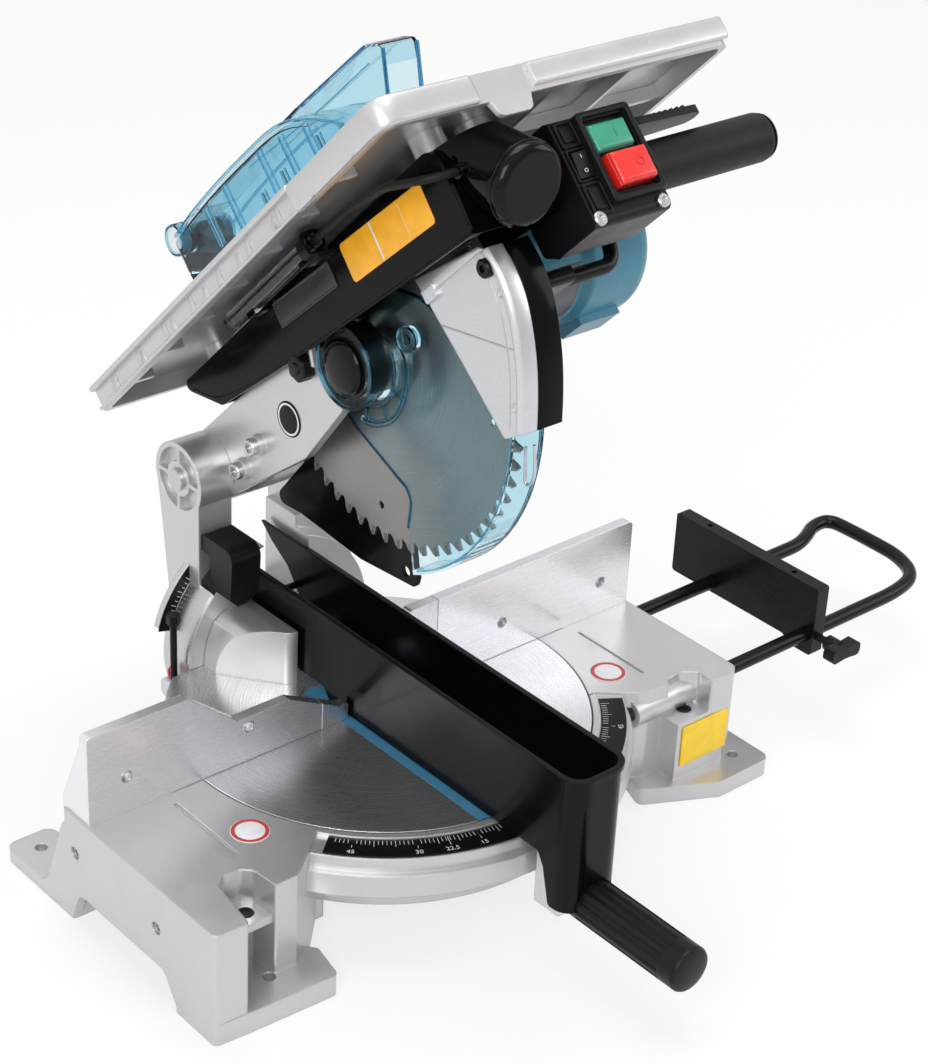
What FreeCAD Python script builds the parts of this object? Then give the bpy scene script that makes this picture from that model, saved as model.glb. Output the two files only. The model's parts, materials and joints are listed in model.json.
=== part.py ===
"""Table mitre saw, as a parametric document of separate pieces.

Axes: X to the right, Y to the back, Z up. The origin is the mitre axis at bench level.
Lengths are millimetres, angles degrees. Pieces of the base, turntable and bevel arm are drawn
about the mitre axis at the height of the table top. Pieces of the head are drawn about the centre
of the blade with the head down, forward being -Y and up +Z, and then raised about the hinge pin.
"""

import FreeCAD, Part
import math
import os

Vector = FreeCAD.Vector
doc = FreeCAD.newDocument("TableMitreSaw")


# Sizes: alias, value, what it is
SIZES = [
    ("table_height", 85.0, "bench to table top"),
    ("running_gap", 0.3, "gap between pieces that move past each other"),
    ("shaft_gap", 0.05, "radial clearance of a shaft in its hole"),
    ("half_width", 238.0, "mitre axis to either side of the base"),
    ("table_skin", 8.0, "thickness of the fixed tables"),
    ("table_rear", 30.0, "rear edge of the fixed tables"),
    ("foot_height", 25.0, "height of the arch between the feet"),
    ("ear_thickness", 13.0, "thickness of the bench ears"),
    ("foot_thickness", 16.0, "thickness of the front left foot"),
    ("bench_bolt_radius", 4.25, "holes for the bench bolts"),
    ("front_bolt_row", 120.0, "front bench bolts ahead of the mitre axis"),
    ("front_bolt_left", 183.0, "left front bench bolt"),
    ("front_bolt_right", 237.0, "right front bench bolt"),
    ("rear_bolt_row", 88.0, "rear bench bolts behind the mitre axis"),
    ("rear_bolt_side", 220.0, "rear bench bolts beside the mitre axis"),
    ("boss_radius", 32.0, "pivot boss under the turntable"),
    ("pivot_radius", 8.0, "pivot bolt"),
    ("pivot_floor", 4.0, "metal under the pivot bolt"),
    ("turntable_radius", 147.4, "turntable"),
    ("turntable_gap", 1.0, "gap round the turntable"),
    ("turntable_skin", 9.0, "thickness of the turntable top"),
    ("skirt_depth", 45.0, "depth of the turntable's skirt"),
    ("skirt_wall", 6.0, "wall of the turntable's skirt"),
    ("floor_thickness", 6.0, "floor under the turntable"),
    ("floor_radius", 108.0, "floor under the turntable, rear half"),
    ("band_inner", 153.7, "inner edge of the scale"),
    ("band_outer", 173.0, "outer edge of the scale"),
    ("band_step", 177.0, "lower step of the front band"),
    ("band_top", 2.4, "scale seat below the table top"),
    ("band_step_top", 13.0, "top of the lower step below the table top"),
    ("band_bottom", 30.0, "bottom of the band below the table top"),
    ("scale_thickness", 1.0, "mitre scale strip"),
    ("sweep_radius", 187.0, "space that the bevel arm sweeps behind the fence"),
    ("kerf_half_width", 32.5, "half width of the kerf board"),
    ("kerf_depth", 4.0, "thickness of the kerf board"),
    ("kerf_front", 147.0, "front end of the kerf board"),
    ("kerf_rear", 45.0, "rear end of the kerf board"),
    ("kerf_slot", 2.0, "half width of the saw slot"),
    ("fence_height", 67.0, "fence"),
    ("fence_thickness", 8.0, "fence"),
    ("fence_foot", 30.0, "rear edge of the fence's foot"),
    ("fence_foot_inner", 172.0, "inner end of the fence's foot"),
    ("fence_end", 236.5, "outer end of the fence"),
    ("fence_hole", 3.2, "hole for an auxiliary fence"),
    ("fence_screw_radius", 3.5, "screws of the fence"),
    ("fence_split", 50.0, "radius inside which the fence turns with the turntable"),
    ("neck_half_width", 16.0, "neck of the turntable"),
    ("neck_front", 205.0, "front of the handle boss"),
    ("neck_boss", 23.0, "length of the handle boss"),
    ("neck_top", 8.0, "top of the neck above the table"),
    ("handle_drop", 33.0, "handle axis below the table top"),
    ("handle_rod_radius", 5.0, "rod of the turntable handle"),
    ("handle_grip_radius", 16.0, "grip of the turntable handle"),
    ("handle_grip_length", 99.0, "grip of the turntable handle"),
    ("trough_left", 25.0, "left face of the blade trough"),
    ("trough_right", 21.5, "right face of the blade trough"),
    ("trough_wall", 2.5, "wall of the blade trough"),
    ("trough_front", 222.0, "front of the blade trough"),
    ("trough_rim", 67.0, "rim of the blade trough above the table"),
    ("drum_radius", 79.0, "bevel drum"),
    ("cover_sweep", 67.5, "space that the spring cover sweeps round the bevel joint"),
    ("drum_front", 114.0, "front face of the bevel drum"),
    ("drum_rear", 146.0, "rear face of the bevel drum"),
    ("flange_radius", 90.0, "scale flange of the bevel drum"),
    ("flange_thickness", 5.0, "scale flange of the bevel drum"),
    ("tilt_bolt_radius", 8.0, "bolt of the bevel joint"),
    ("tilt_boss", 30.0, "half width of the block that holds the bevel joint's bolt"),
    ("tilt_boss_front", 100.0, "front face of that block"),
    ("channel_floor", 19.5, "floor of the bevel arm's channel above the table"),
    ("arm_rear", 165.0, "rear face of the bevel arm"),
    ("arm_front", 129.0, "front face of the bevel arm"),
    ("ear_inner", 32.0, "inner face of either ear"),
    ("ear_outer", 60.0, "outer face of either ear"),
    ("ear_radius", 27.0, "ear round the hinge pin"),
    ("hinge_back", 153.0, "hinge pin behind the mitre axis"),
    ("hinge_height", 130.0, "hinge pin above the table"),
    ("hinge_radius", 8.0, "hinge pin"),
    ("hub_radius", 25.0, "hub of the head on the hinge pin"),
    ("blade_reach", 198.4, "blade centre ahead of the hinge pin, head down"),
    ("blade_drop", 13.3, "blade centre below the hinge pin, head down"),
    ("head_travel", 45.0, "angle between head up and head down"),
    ("blade_radius", 130.0, "saw blade"),
    ("blade_half", 1.0, "half thickness of the blade body"),
    ("tooth_half", 1.4, "half width of the teeth"),
    ("arbor_radius", 15.0, "arbor of the blade"),
    ("flange_disc_radius", 21.0, "blade flanges"),
    ("tooth_count", 60.0, "teeth of the blade"),
    ("plate_left", 32.0, "left face of the head arm"),
    ("plate_thickness", 8.0, "head arm"),
    ("cover_left", 40.0, "left face of the upper case"),
    ("cover_right", 28.0, "right face of the upper case"),
    ("cover_wall", 2.5, "wall of the upper case"),
    ("cover_top", 70.0, "top of the upper case above the blade centre"),
    ("case_left", 20.0, "left face of the blade case"),
    ("case_seam", 8.0, "seam between blade case and strip"),
    ("case_right", 12.0, "right face of the case strip"),
    ("case_wall", 2.5, "wall of the blade case"),
    ("guard_forward", 2.0, "guard pivot ahead of the blade centre"),
    ("guard_up", 5.0, "guard pivot above the blade centre"),
    ("guard_outer", 143.0, "rim of the lower guard"),
    ("guard_wall", 2.0, "wall of the lower guard"),
    ("guard_left", 17.0, "left face of the lower guard's wall"),
    ("guard_right", 7.5, "right face of the lower guard"),
    ("guard_boss", 28.0, "boss of the lower guard"),
    ("guard_hub_radius", 22.0, "hub that the lower guard turns on"),
    ("guard_boss_left", 34.0, "left face of the guard's boss"),
    ("gear_left", 14.0, "left face of the gear case"),
    ("gear_right", 44.0, "right face of the gear case"),
    ("gear_wall", 3.0, "wall of the gear case"),
    ("motor_forward", 62.0, "motor axis ahead of the blade centre"),
    ("motor_up", 26.0, "motor axis above the blade centre"),
    ("motor_radius", 52.0, "motor housing at its end"),
    ("motor_neck", 46.0, "motor housing beside the gear case"),
    ("motor_wall", 3.0, "wall of the motor housing"),
    ("motor_end", 158.0, "right end of the motor housing"),
    ("shaft_radius", 6.0, "motor shaft"),
    ("box_left", 30.0, "left face of the switch box"),
    ("box_right", 92.0, "right face of the switch box"),
    ("box_rear", 148.0, "rear face of the switch box"),
    ("box_front", 203.0, "front face of the switch box"),
    ("box_bottom", 10.0, "bottom of the switch box below the blade centre"),
    ("box_top", 60.0, "top of the switch box above the blade centre"),
    ("button_travel", 3.0, "travel of the buttons"),
    ("grip_forward", 175.0, "grip axis ahead of the blade centre"),
    ("grip_up", 25.0, "grip axis above the blade centre"),
    ("grip_radius", 16.0, "front grip"),
    ("grip_core", 11.0, "core of the front grip"),
    ("grip_end", 214.0, "right end of the front grip"),
    ("lever_gap", 7.0, "release lever above the grip"),
    ("lever_thickness", 5.0, "release lever"),
    ("lamp_radius", 26.0, "lamp housing"),
    ("lamp_side", 8.0, "lamp axis left of the blade"),
    ("top_left", 98.0, "left edge of the upper table"),
    ("top_right", 176.0, "right edge of the upper table"),
    ("top_front", 226.0, "front edge of the upper table"),
    ("top_rear", 190.0, "rear edge of the upper table"),
    ("top_surface", 90.0, "upper table above the blade centre"),
    ("top_skin", 6.0, "thickness of the upper table"),
    ("top_rim", 18.0, "depth of the upper table's rim"),
    ("top_travel", 40.0, "height travel of the upper table"),
    ("post_radius", 7.0, "guide posts of the upper table"),
    ("rod_radius", 5.5, "extension rods"),
    ("rod_drop", 18.0, "extension rods below the table top"),
    ("rod_rear", 3.0, "rear extension rod"),
    ("rod_front", 93.0, "front extension rod"),
    ("rod_reach", 486.0, "far end of the extension rods"),
    ("rod_inner", 165.0, "inner end of the extension rods"),
    ("stop_near", 334.0, "near face of the stop plate"),
    ("stop_thickness", 12.0, "stop plate"),
]

sheet = doc.addObject("Spreadsheet::Sheet", "Sizes")
for row, (alias, value, meaning) in enumerate(SIZES, start=1):
    sheet.set(f"A{row}", meaning)
    sheet.set(f"B{row}", str(value))
    sheet.setAlias(f"B{row}", alias)
doc.recompute()


class Size:
    """A size read from the sheet: its value, and the expression that gives it there."""

    def __init__(self, value, text):
        self.value = float(value)
        self.text = text

    def _join(self, other, sign, value):
        text = other.text if isinstance(other, Size) else repr(float(other))
        return Size(value, f"({self.text} {sign} {text})")

    def __add__(self, other):
        return self._join(other, "+", self.value + float(other))

    def __sub__(self, other):
        return self._join(other, "-", self.value - float(other))

    def __mul__(self, other):
        return self._join(other, "*", self.value * float(other))

    def __truediv__(self, other):
        return self._join(other, "/", self.value / float(other))

    def __radd__(self, other):
        return Size(other, repr(float(other))) + self

    def __rsub__(self, other):
        return Size(other, repr(float(other))) - self

    def __rmul__(self, other):
        return Size(other, repr(float(other))) * self

    def __neg__(self):
        return Size(0.0, "0.0") - self

    def __float__(self):
        return self.value


class Names:
    """The named sizes of the sheet, as attributes."""


s = Names()
for alias, value, meaning in SIZES:
    setattr(s, alias, Size(sheet.get(alias), f"Sizes.{alias}"))


# Placements
TABLE = FreeCAD.Placement(Vector(0, 0, float(s.table_height)), FreeCAD.Rotation())


def head_placement():
    """The head raised about the hinge pin by its travel."""
    turn = FreeCAD.Rotation(Vector(1, 0, 0), -float(s.head_travel))
    pin = Vector(0, float(s.hinge_back), float(s.hinge_height) + float(s.table_height))
    arm = Vector(0, float(s.blade_reach), float(s.blade_drop))
    return FreeCAD.Placement(pin - turn.multVec(arm), turn)


HEAD = head_placement()
nodes = []


def name_of(kind):
    """A name for a construction object."""
    return f"{kind}_{len(doc.Objects)}"


def bind(target, prop, size):
    """Set a property, through the sheet where the size comes from it."""
    if isinstance(size, Size):
        target.setExpression(prop, size.text)
    elif "." in prop:
        target.setExpression(prop, repr(float(size)))
    else:
        setattr(target, prop, float(size))


def finish(label, shape_object, placement):
    """Name a piece and put it in its place."""
    if not shape_object.Placement.isIdentity():
        shape_object = group(shape_object)
    shape_object.Label = label
    shape_object.Placement = placement
    nodes.append(shape_object)
    return shape_object


# Solids
def box(x_low, x_high, y_low, y_high, z_low, z_high):
    """A block between two corners."""
    block = doc.addObject("Part::Box", name_of("Block"))
    bind(block, "Length", x_high - x_low)
    bind(block, "Width", y_high - y_low)
    bind(block, "Height", z_high - z_low)
    bind(block, "Placement.Base.x", x_low)
    bind(block, "Placement.Base.y", y_low)
    bind(block, "Placement.Base.z", z_low)
    return block


TURNS = {
    "X": FreeCAD.Rotation(Vector(0, 1, 0), 90),
    "Y": FreeCAD.Rotation(Vector(1, 0, 0), -90),
    "Z": FreeCAD.Rotation(),
}


def rod(axis, radius, low, high, first, second):
    """A cylinder along an axis from low to high; first and second place its centre line."""
    body = doc.addObject("Part::Cylinder", name_of("Rod"))
    bind(body, "Radius", radius)
    bind(body, "Height", high - low)
    body.Placement = FreeCAD.Placement(Vector(), TURNS[axis])
    order = {"X": (low, first, second), "Y": (first, low, second), "Z": (first, second, low)}
    for letter, value in zip("xyz", order[axis]):
        bind(body, f"Placement.Base.{letter}", value)
    return body


def ring(axis, outer, inner, low, high, first, second):
    """A tube along an axis."""
    return cut(
        rod(axis, outer, low, high, first, second),
        rod(axis, inner, low - 1, high + 1, first, second),
    )


def corner_arcs(points):
    """Edges of a closed outline; a third number rounds that corner."""
    flat = [(float(p[0]), float(p[1]), float(p[2]) if len(p) > 2 else 0.0) for p in points]
    ends = []
    for index, (x, y, radius) in enumerate(flat):
        here = Vector(x, y, 0)
        if radius == 0.0:
            ends.append((here, here, None))
            continue
        before = Vector(*flat[index - 1][:2], 0) - here
        after = Vector(*flat[(index + 1) % len(flat)][:2], 0) - here
        half = before.getAngle(after) / 2
        reach = radius / math.tan(half)
        before.normalize()
        after.normalize()
        middle = (before + after).normalize()
        mid_point = here + middle * (radius / math.sin(half) - radius)
        ends.append((here + before * reach, here + after * reach, mid_point))
    edges = []
    for index, (start, stop, mid_point) in enumerate(ends):
        if mid_point is not None:
            edges.append(Part.Arc(start, mid_point, stop))
        following = ends[(index + 1) % len(ends)][0]
        if stop.distanceToPoint(following) > 1e-6:
            edges.append(Part.LineSegment(stop, following))
    return edges


PLANES = {"X": "YZ_Plane", "Y": "XZ_Plane", "Z": "XY_Plane"}


def new_sketch(axis, offset):
    """A body with an empty sketch square to an axis."""
    body = doc.addObject("PartDesign::Body", name_of("Body"))
    sketch = body.newObject("Sketcher::SketchObject", name_of("Sketch"))
    plane = [item for item in body.Origin.OriginFeatures if item.Role == PLANES[axis]][0]
    sketch.AttachmentSupport = [(plane, "")]
    sketch.MapMode = "FlatFace"
    bind(sketch, "AttachmentOffset.Base.z", offset)
    return body, sketch


def prism(axis, outline, low, high):
    """An outline square to an axis, padded from low to high along it.

    The outline is in (Y, Z) for X, in (X, Z) for Y and in (X, Y) for Z.
    """
    offset = -high if axis == "Y" else low
    body, sketch = new_sketch(axis, offset)
    sketch.addGeometry(corner_arcs(outline), False)
    pad = body.newObject("PartDesign::Pad", name_of("Pad"))
    pad.Profile = sketch
    bind(pad, "Length", high - low)
    return body


def turned(profile, y, z):
    """A profile in (X, radius) turned round an axis along X through (y, z)."""
    body, sketch = new_sketch("Y", 0.0)
    sketch.addGeometry(corner_arcs(profile), False)
    turn = body.newObject("PartDesign::Revolution", name_of("Turn"))
    turn.Profile = sketch
    turn.ReferenceAxis = (sketch, ["H_Axis"])
    turn.Angle = 360
    body.Placement = FreeCAD.Placement(Vector(0, float(y), float(z)), FreeCAD.Rotation())
    return body


def solid(shape, kind="Form"):
    """A feature that holds a shape worked out in this file."""
    feature = doc.addObject("Part::Feature", name_of(kind))
    feature.Shape = shape
    return feature


def fuse(*parts):
    """One solid from several."""
    joined = doc.addObject("Part::MultiFuse", name_of("Fuse"))
    joined.Shapes = list(parts)
    joined.Refine = True
    return joined


def group(*parts):
    """Several solids that share a name."""
    kept = doc.addObject("Part::Compound", name_of("Group"))
    kept.Links = list(parts)
    return kept


def cut(base, *tools):
    """A solid less its tools."""
    less = doc.addObject("Part::Cut", name_of("Cut"))
    less.Base = base
    less.Tool = tools[0] if len(tools) == 1 else fuse_plain(*tools)
    less.Refine = True
    return less


def fuse_plain(*parts):
    """Tools joined without merging their faces."""
    joined = doc.addObject("Part::MultiFuse", name_of("Tools"))
    joined.Shapes = list(parts)
    return joined


def common(*parts):
    """What several solids share."""
    shared = doc.addObject("Part::MultiCommon", name_of("Common"))
    shared.Shapes = list(parts)
    return shared


def tube_shape(points, radius, bend):
    """A round bar along straight runs joined by arcs of one bend radius."""
    edges = []
    start = Vector(*points[0])
    for index in range(1, len(points) - 1):
        here = Vector(*points[index])
        before = (Vector(*points[index - 1]) - here).normalize()
        after = (Vector(*points[index + 1]) - here).normalize()
        half = before.getAngle(after) / 2
        reach = bend / math.tan(half)
        middle = (before + after).normalize()
        first = here + before * reach
        last = here + after * reach
        mid_point = here + middle * (bend / math.sin(half) - bend)
        edges.append(Part.LineSegment(start, first).toShape())
        edges.append(Part.Arc(first, mid_point, last).toShape())
        start = last
    edges.append(Part.LineSegment(start, Vector(*points[-1])).toShape())
    spine = Part.Wire(edges)
    direction = Vector(*points[1]) - Vector(*points[0])
    circle = Part.Wire([Part.Circle(Vector(*points[0]), direction, float(radius)).toShape()])
    return spine.makePipeShell([circle], True, False)


def forward(points):
    """Head outline points, given as forward and up, turned into Y and Z."""
    return [(-float(p[0]),) + tuple(p[1:]) for p in points]


def side(outline, low, high):
    """A head outline in (forward, up) padded along X."""
    return prism("X", forward(outline), low, high)


def pin(radius, low, high, ahead, up):
    """A head cylinder along X, placed by forward and up."""
    return rod("X", radius, low, high, -ahead, up)


def hoop(outer, inner, low, high, ahead, up):
    """A head tube along X, placed by forward and up."""
    return ring("X", outer, inner, low, high, -ahead, up)


def block(x_low, x_high, f_low, f_high, u_low, u_high):
    """A head block, placed by forward and up."""
    return box(x_low, x_high, -f_high, -f_low, u_low, u_high)


# Base casting
STOP_BOLT = (-86.0, 123.3)
STOP_BOLT_RADIUS = 2.5


def left_table_outline():
    """Plan of the left table, with the recess for a bench bolt."""
    side_x = -s.half_width
    return [
        (side_x, s.table_rear, 4), (side_x, -138.5, 4), (-213, -140, 3),
        (-206, -98, 4), (-198, -92, 4), (-186, -93, 4), (-180, -99, 3), (-178, -119.5, 2),
        (-161, -119.2, 2), (-153, -113.6), (-124, -90.7), (-60, -90.7), (-60, s.table_rear),
    ]


def right_table_outline():
    """Plan of the right table, with the recess for a bench bolt."""
    side_x = s.half_width
    return [
        (side_x, s.table_rear, 4), (side_x, -113, 5), (226, -118.7, 3), (209, -117.5, 2),
        (211, -103, 5), (200, -94, 5), (186, -96, 3), (182, -101, 2), (164, -100, 3),
        (157, -97, 3), (133.7, -78), (60, -60), (60, s.table_rear),
    ]


def arch_outline():
    """Space between the front and rear feet, in (Y, Z)."""
    low = -s.table_height - 1
    high = s.foot_height - s.table_height
    return [(-101, low), (-84, high, 9), (12, high, 9), (22, low)]


def base_casting():
    bench = -s.table_height
    plan = [prism("Z", left_table_outline(), bench, 0.0), prism("Z", right_table_outline(), bench, 0.0)]
    inside = []
    for sign in (-1, 1):
        outer = sign * (s.half_width - 7)
        inner = sign * 152.0
        low, high = (outer, inner) if sign < 0 else (inner, outer)
        inside.append(box(low, high, -84.0, s.table_rear - 7, bench - 1, -s.table_skin))
    tables = cut(
        fuse(*plan),
        prism("X", arch_outline(), -s.half_width - 1, s.half_width + 1),
        *inside,
    )
    band = fuse(
        rod("Z", s.band_step, -s.band_bottom, -s.band_step_top, 0.0, 0.0),
        rod("Z", s.band_outer, -s.band_bottom, -s.band_top, 0.0, 0.0),
        rod("Z", s.band_inner, -s.skirt_depth - 8, 0.0, 0.0, 0.0),
    )
    front = common(band, box(-152.0, 152.0, -180.0, -78.0, -s.skirt_depth - 8, 0.0))
    well = rod("Z", s.turntable_radius + s.turntable_gap, -s.table_height - 1, 1.0, 0.0, 0.0)
    sweep = cut(
        rod("Z", s.sweep_radius, -s.table_height - 1, 1.0, 0.0, 0.0),
        box(-200.0, 200.0, -200.0, 12.0, -s.table_height - 2, 2.0),
    )
    bolt_sweep = cut(
        rod("Z", math.hypot(STOP_BOLT[0] - 6.0, STOP_BOLT[1] + 7.7) + 2, -s.skirt_depth, 1.0, 0.0, 0.0),
        box(-200.0, 200.0, -200.0, 2.0, -s.table_height, 2.0),
    )
    shell = cut(fuse(tables, front), well, sweep, bolt_sweep)
    deck_low = -s.skirt_depth - 1 - s.floor_thickness
    deck = fuse(
        rod("Z", s.floor_radius, deck_low, -s.skirt_depth - 1, 0.0, 0.0),
        cut(
            rod("Z", s.turntable_radius + s.turntable_gap + 4, deck_low, -s.skirt_depth - 1, 0.0, 0.0),
            box(-200.0, 200.0, -30.0, 200.0, deck_low - 1, 0.0),
        ),
        rod("Z", s.boss_radius, bench, -s.skirt_depth - 1, 0.0, 0.0),
        box(-170.0, 170.0, -60.0, -44.0, deck_low, -s.skirt_depth - 1),
        box(-215.0, -100.0, -25.0, 5.0, deck_low, -s.skirt_depth - 1),
        box(100.0, 215.0, -25.0, 5.0, deck_low, -s.skirt_depth - 1),
    )
    ear_top = s.ear_thickness - s.table_height
    front_foot = [(-238, -95, 3), (-238, -138.5, 4), (-213, -141, 6), (-147, -145, 5), (-141, -116, 5), (-160, -95, 3)]
    right_foot = [(238, -84, 3), (257, -88, 9), (257, -140, 9), (205, -140, 6), (150, -112, 6), (160, -84, 3)]
    rear_foot = [(-238, 20, 3), (-200, 20, 3), (-200, 60, 8), (-202, 105, 8), (-238, 105, 8)]
    mirrored = [(-p[0],) + p[1:] for p in rear_foot]
    feet = [
        prism("Z", front_foot, bench, s.foot_thickness - s.table_height),
        prism("Z", right_foot, bench, ear_top),
        prism("Z", rear_foot, bench, ear_top - 3),
        prism("Z", mirrored, bench, ear_top - 3),
    ]
    web = [(24, -8), (30, -12, 6), (52, -70, 8), (60, ear_top - 4), (24, ear_top - 4)]
    webs = [prism("X", web, -238.0, -230.0), prism("X", web, 230.0, 238.0)]
    webs += [prism("X", web, -208.0, -202.0), prism("X", web, 202.0, 208.0)]
    pockets = [
        box(-207.0, -177.0, -116.0, -90.0, -31.0, -25.0),
        box(178.0, 212.0, -116.0, -92.0, -31.0, -25.0),
        box(178.0, 214.0, -117.8, -113.0, ear_top - 4, -25.0),
        box(178.0, 182.0, -116.0, -92.0, ear_top - 4, -25.0),
    ]
    collars = []
    for y in (s.rod_rear, -s.rod_front):
        collars.append(rod("X", s.rod_radius + 5, 153.0, s.half_width + 3, y, -s.rod_drop))
    body = fuse(shell, deck, *feet, *webs, *pockets, *collars)
    holes = [rod("Z", s.pivot_radius, bench + s.pivot_floor, 0.0, 0.0, 0.0)]
    bolt = s.bench_bolt_radius
    holes.append(rod("Z", bolt, bench - 1, -30.0 - 31, -s.front_bolt_left, -s.front_bolt_row))
    holes.append(rod("Z", bolt, bench - 1, -30.0 - 31, s.front_bolt_right, -s.front_bolt_row))
    for sign in (-1, 1):
        holes.append(rod("Z", bolt, bench - 1, -60.0, sign * s.rear_bolt_side, s.rear_bolt_row))
    holes.append(rod("Z", 5.5, -32.0, -24.0, -190.0, -104.0))
    holes.append(rod("Z", 5.5, -32.0, -24.0, 197.0, -104.0))
    for y, z in ((16.0, -29.0), (-76.0, -32.0)):
        holes.append(rod("X", 4.5, -s.half_width - 1, -s.half_width + 12, y, z))
    for y in (s.rod_rear, -s.rod_front):
        holes.append(rod("X", s.rod_radius + s.shaft_gap, 150.0, s.half_width + 6, y, -s.rod_drop))
        holes.append(rod("Z", 3.0, -s.rod_drop - 30, -s.rod_drop, 222.0, y))
        holes.append(rod("Z", 8.5, bench - 1, -s.rod_drop - 26, 222.0, y))
    for sign in (-1, 1):
        for x in (184.0, 226.0):
            holes.append(rod("Z", s.fence_screw_radius - 0.7, -20.0, 1.0, sign * x, 20.0))
    slots = []
    for sign in (-1, 1):
        slots.append(box(sign * 178.0 - 1.2, sign * 178.0 + 1.2, -79.0, -11.0, -2.0, 1.0))
    return cut(body, *holes, *slots)


def mitre_scale():
    strip = ring("Z", s.band_outer - 1.5, s.band_inner + 0.3, -s.band_top, s.scale_thickness - s.band_top, 0.0, 0.0)
    wedge = [(0, 0), (-155, -126), (-155, -200), (168, -200), (168, -107.5)]
    return common(strip, prism("Z", wedge, -5.0, 5.0))


def fence_face(sign):
    """Front outline of the whole fence on one side, left for -1 and right for +1, in (X, Z)."""
    low = s.running_gap
    end = s.fence_end
    if sign < 0:
        return [
            (-end, low), (-end, s.fence_height, 3), (-159.5, s.fence_height, 3), (-120, 34.9, 2),
            (-77.5, 34.9, 2), (-36, 13.9, 2), (-27.5, 12.5, 1), (-27.5, low),
        ]
    return [(24, low), (24, s.fence_height, 4), (end, s.fence_height + 2, 4), (end, low)]


def fence(sign):
    """The wing of the fence that is screwed to the base."""
    end = s.fence_end
    parts = [prism("Y", fence_face(sign), 0.0, s.fence_thickness)]
    foot_ends = (-end, -s.fence_foot_inner) if sign < 0 else (s.fence_foot_inner, end)
    parts.append(box(*foot_ends, 0.0, s.fence_foot, 0.0, 9.0))
    rib = [(s.fence_thickness - 1, 1), (s.fence_foot, 1), (s.fence_foot, 9, 3), (s.fence_thickness - 1, 61)]
    for x in (232.0, 203.0, 174.0):
        low_x = -x - 4.5 if sign < 0 else x
        parts.append(prism("X", rib, low_x, low_x + 4.5))
    wing = fuse(*parts)
    holes = [rod("Z", s.fence_split + s.running_gap, -1.0, s.fence_height + 5, 0.0, 0.0)]
    for x in (207.5, 111.5):
        holes.append(rod("Y", s.fence_hole, -1.0, s.fence_thickness + 1, sign * x, 27.0))
    for x in (184.0, 226.0):
        holes.append(rod("Z", s.fence_screw_radius, -1.0, 12.0, sign * x, 20.0))
    return cut(wing, *holes)


def fence_tip(sign):
    """The inner end of the fence, which stands on the turntable beside the trough."""
    inside = rod("Z", s.fence_split, -1.0, s.fence_height + 5, 0.0, 0.0)
    tip = common(prism("Y", fence_face(sign), 0.0, s.fence_thickness), inside)
    near = s.kerf_half_width + 0.5
    low, high = (-s.fence_split + 1, -near) if sign < 0 else (near, s.fence_split - 1)
    return fuse(tip, box(low, high, 0.0, s.fence_thickness, -1.0, 1.0))


def cap_screw(axis, radius, low, high, head, first, second):
    """A screw whose head, with a hexagon socket, ends at high."""
    shank = rod(axis, radius, low, high - head, first, second)
    top = rod(axis, radius * 1.7, high - head, high, first, second)
    reach = float(radius) * 0.85
    socket = []
    for n in range(6):
        angle = math.radians(60 * n)
        socket.append((float(first) + reach * math.cos(angle), float(second) + reach * math.sin(angle)))
    return cut(fuse(shank, top), prism(axis, socket, high - head * 0.6, high + 1))


def fence_screws():
    screws = []
    for sign in (-1, 1):
        for x in (184.0, 226.0):
            screws.append(cap_screw("Z", s.fence_screw_radius - 0.8, -16.0, 13.0, 4.0, sign * x, 20.0))
    return screws


def pivot_bolt():
    low = s.pivot_floor - s.table_height
    shank = rod("Z", s.pivot_radius - s.shaft_gap, low, -s.skirt_depth - 1 + 34 - 8, 0.0, 0.0)
    head = rod("Z", s.pivot_radius + 6, -s.skirt_depth + 24.5 - 8, -s.skirt_depth + 30 - 8, 0.0, 0.0)
    return fuse(shank, head)


def rod_clamp_screws():
    parts = []
    for y in (s.rod_rear, -s.rod_front):
        low = -s.rod_drop - 26
        parts.append(fuse(
            rod("Z", 2.95, low, -s.rod_drop - s.rod_radius - 0.2, 222.0, y),
            rod("Z", 8.0, low - 8, low, 222.0, y),
        ))
    return parts


finish("base_casting", base_casting(), TABLE)
finish("mitre_scale", mitre_scale(), TABLE)
finish("left_fence", fence(-1), TABLE)
finish("right_fence", fence(1), TABLE)
finish("base_screws", group(*fence_screws(), *rod_clamp_screws()), TABLE)
finish("pivot_bolt", pivot_bolt(), TABLE)


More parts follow.
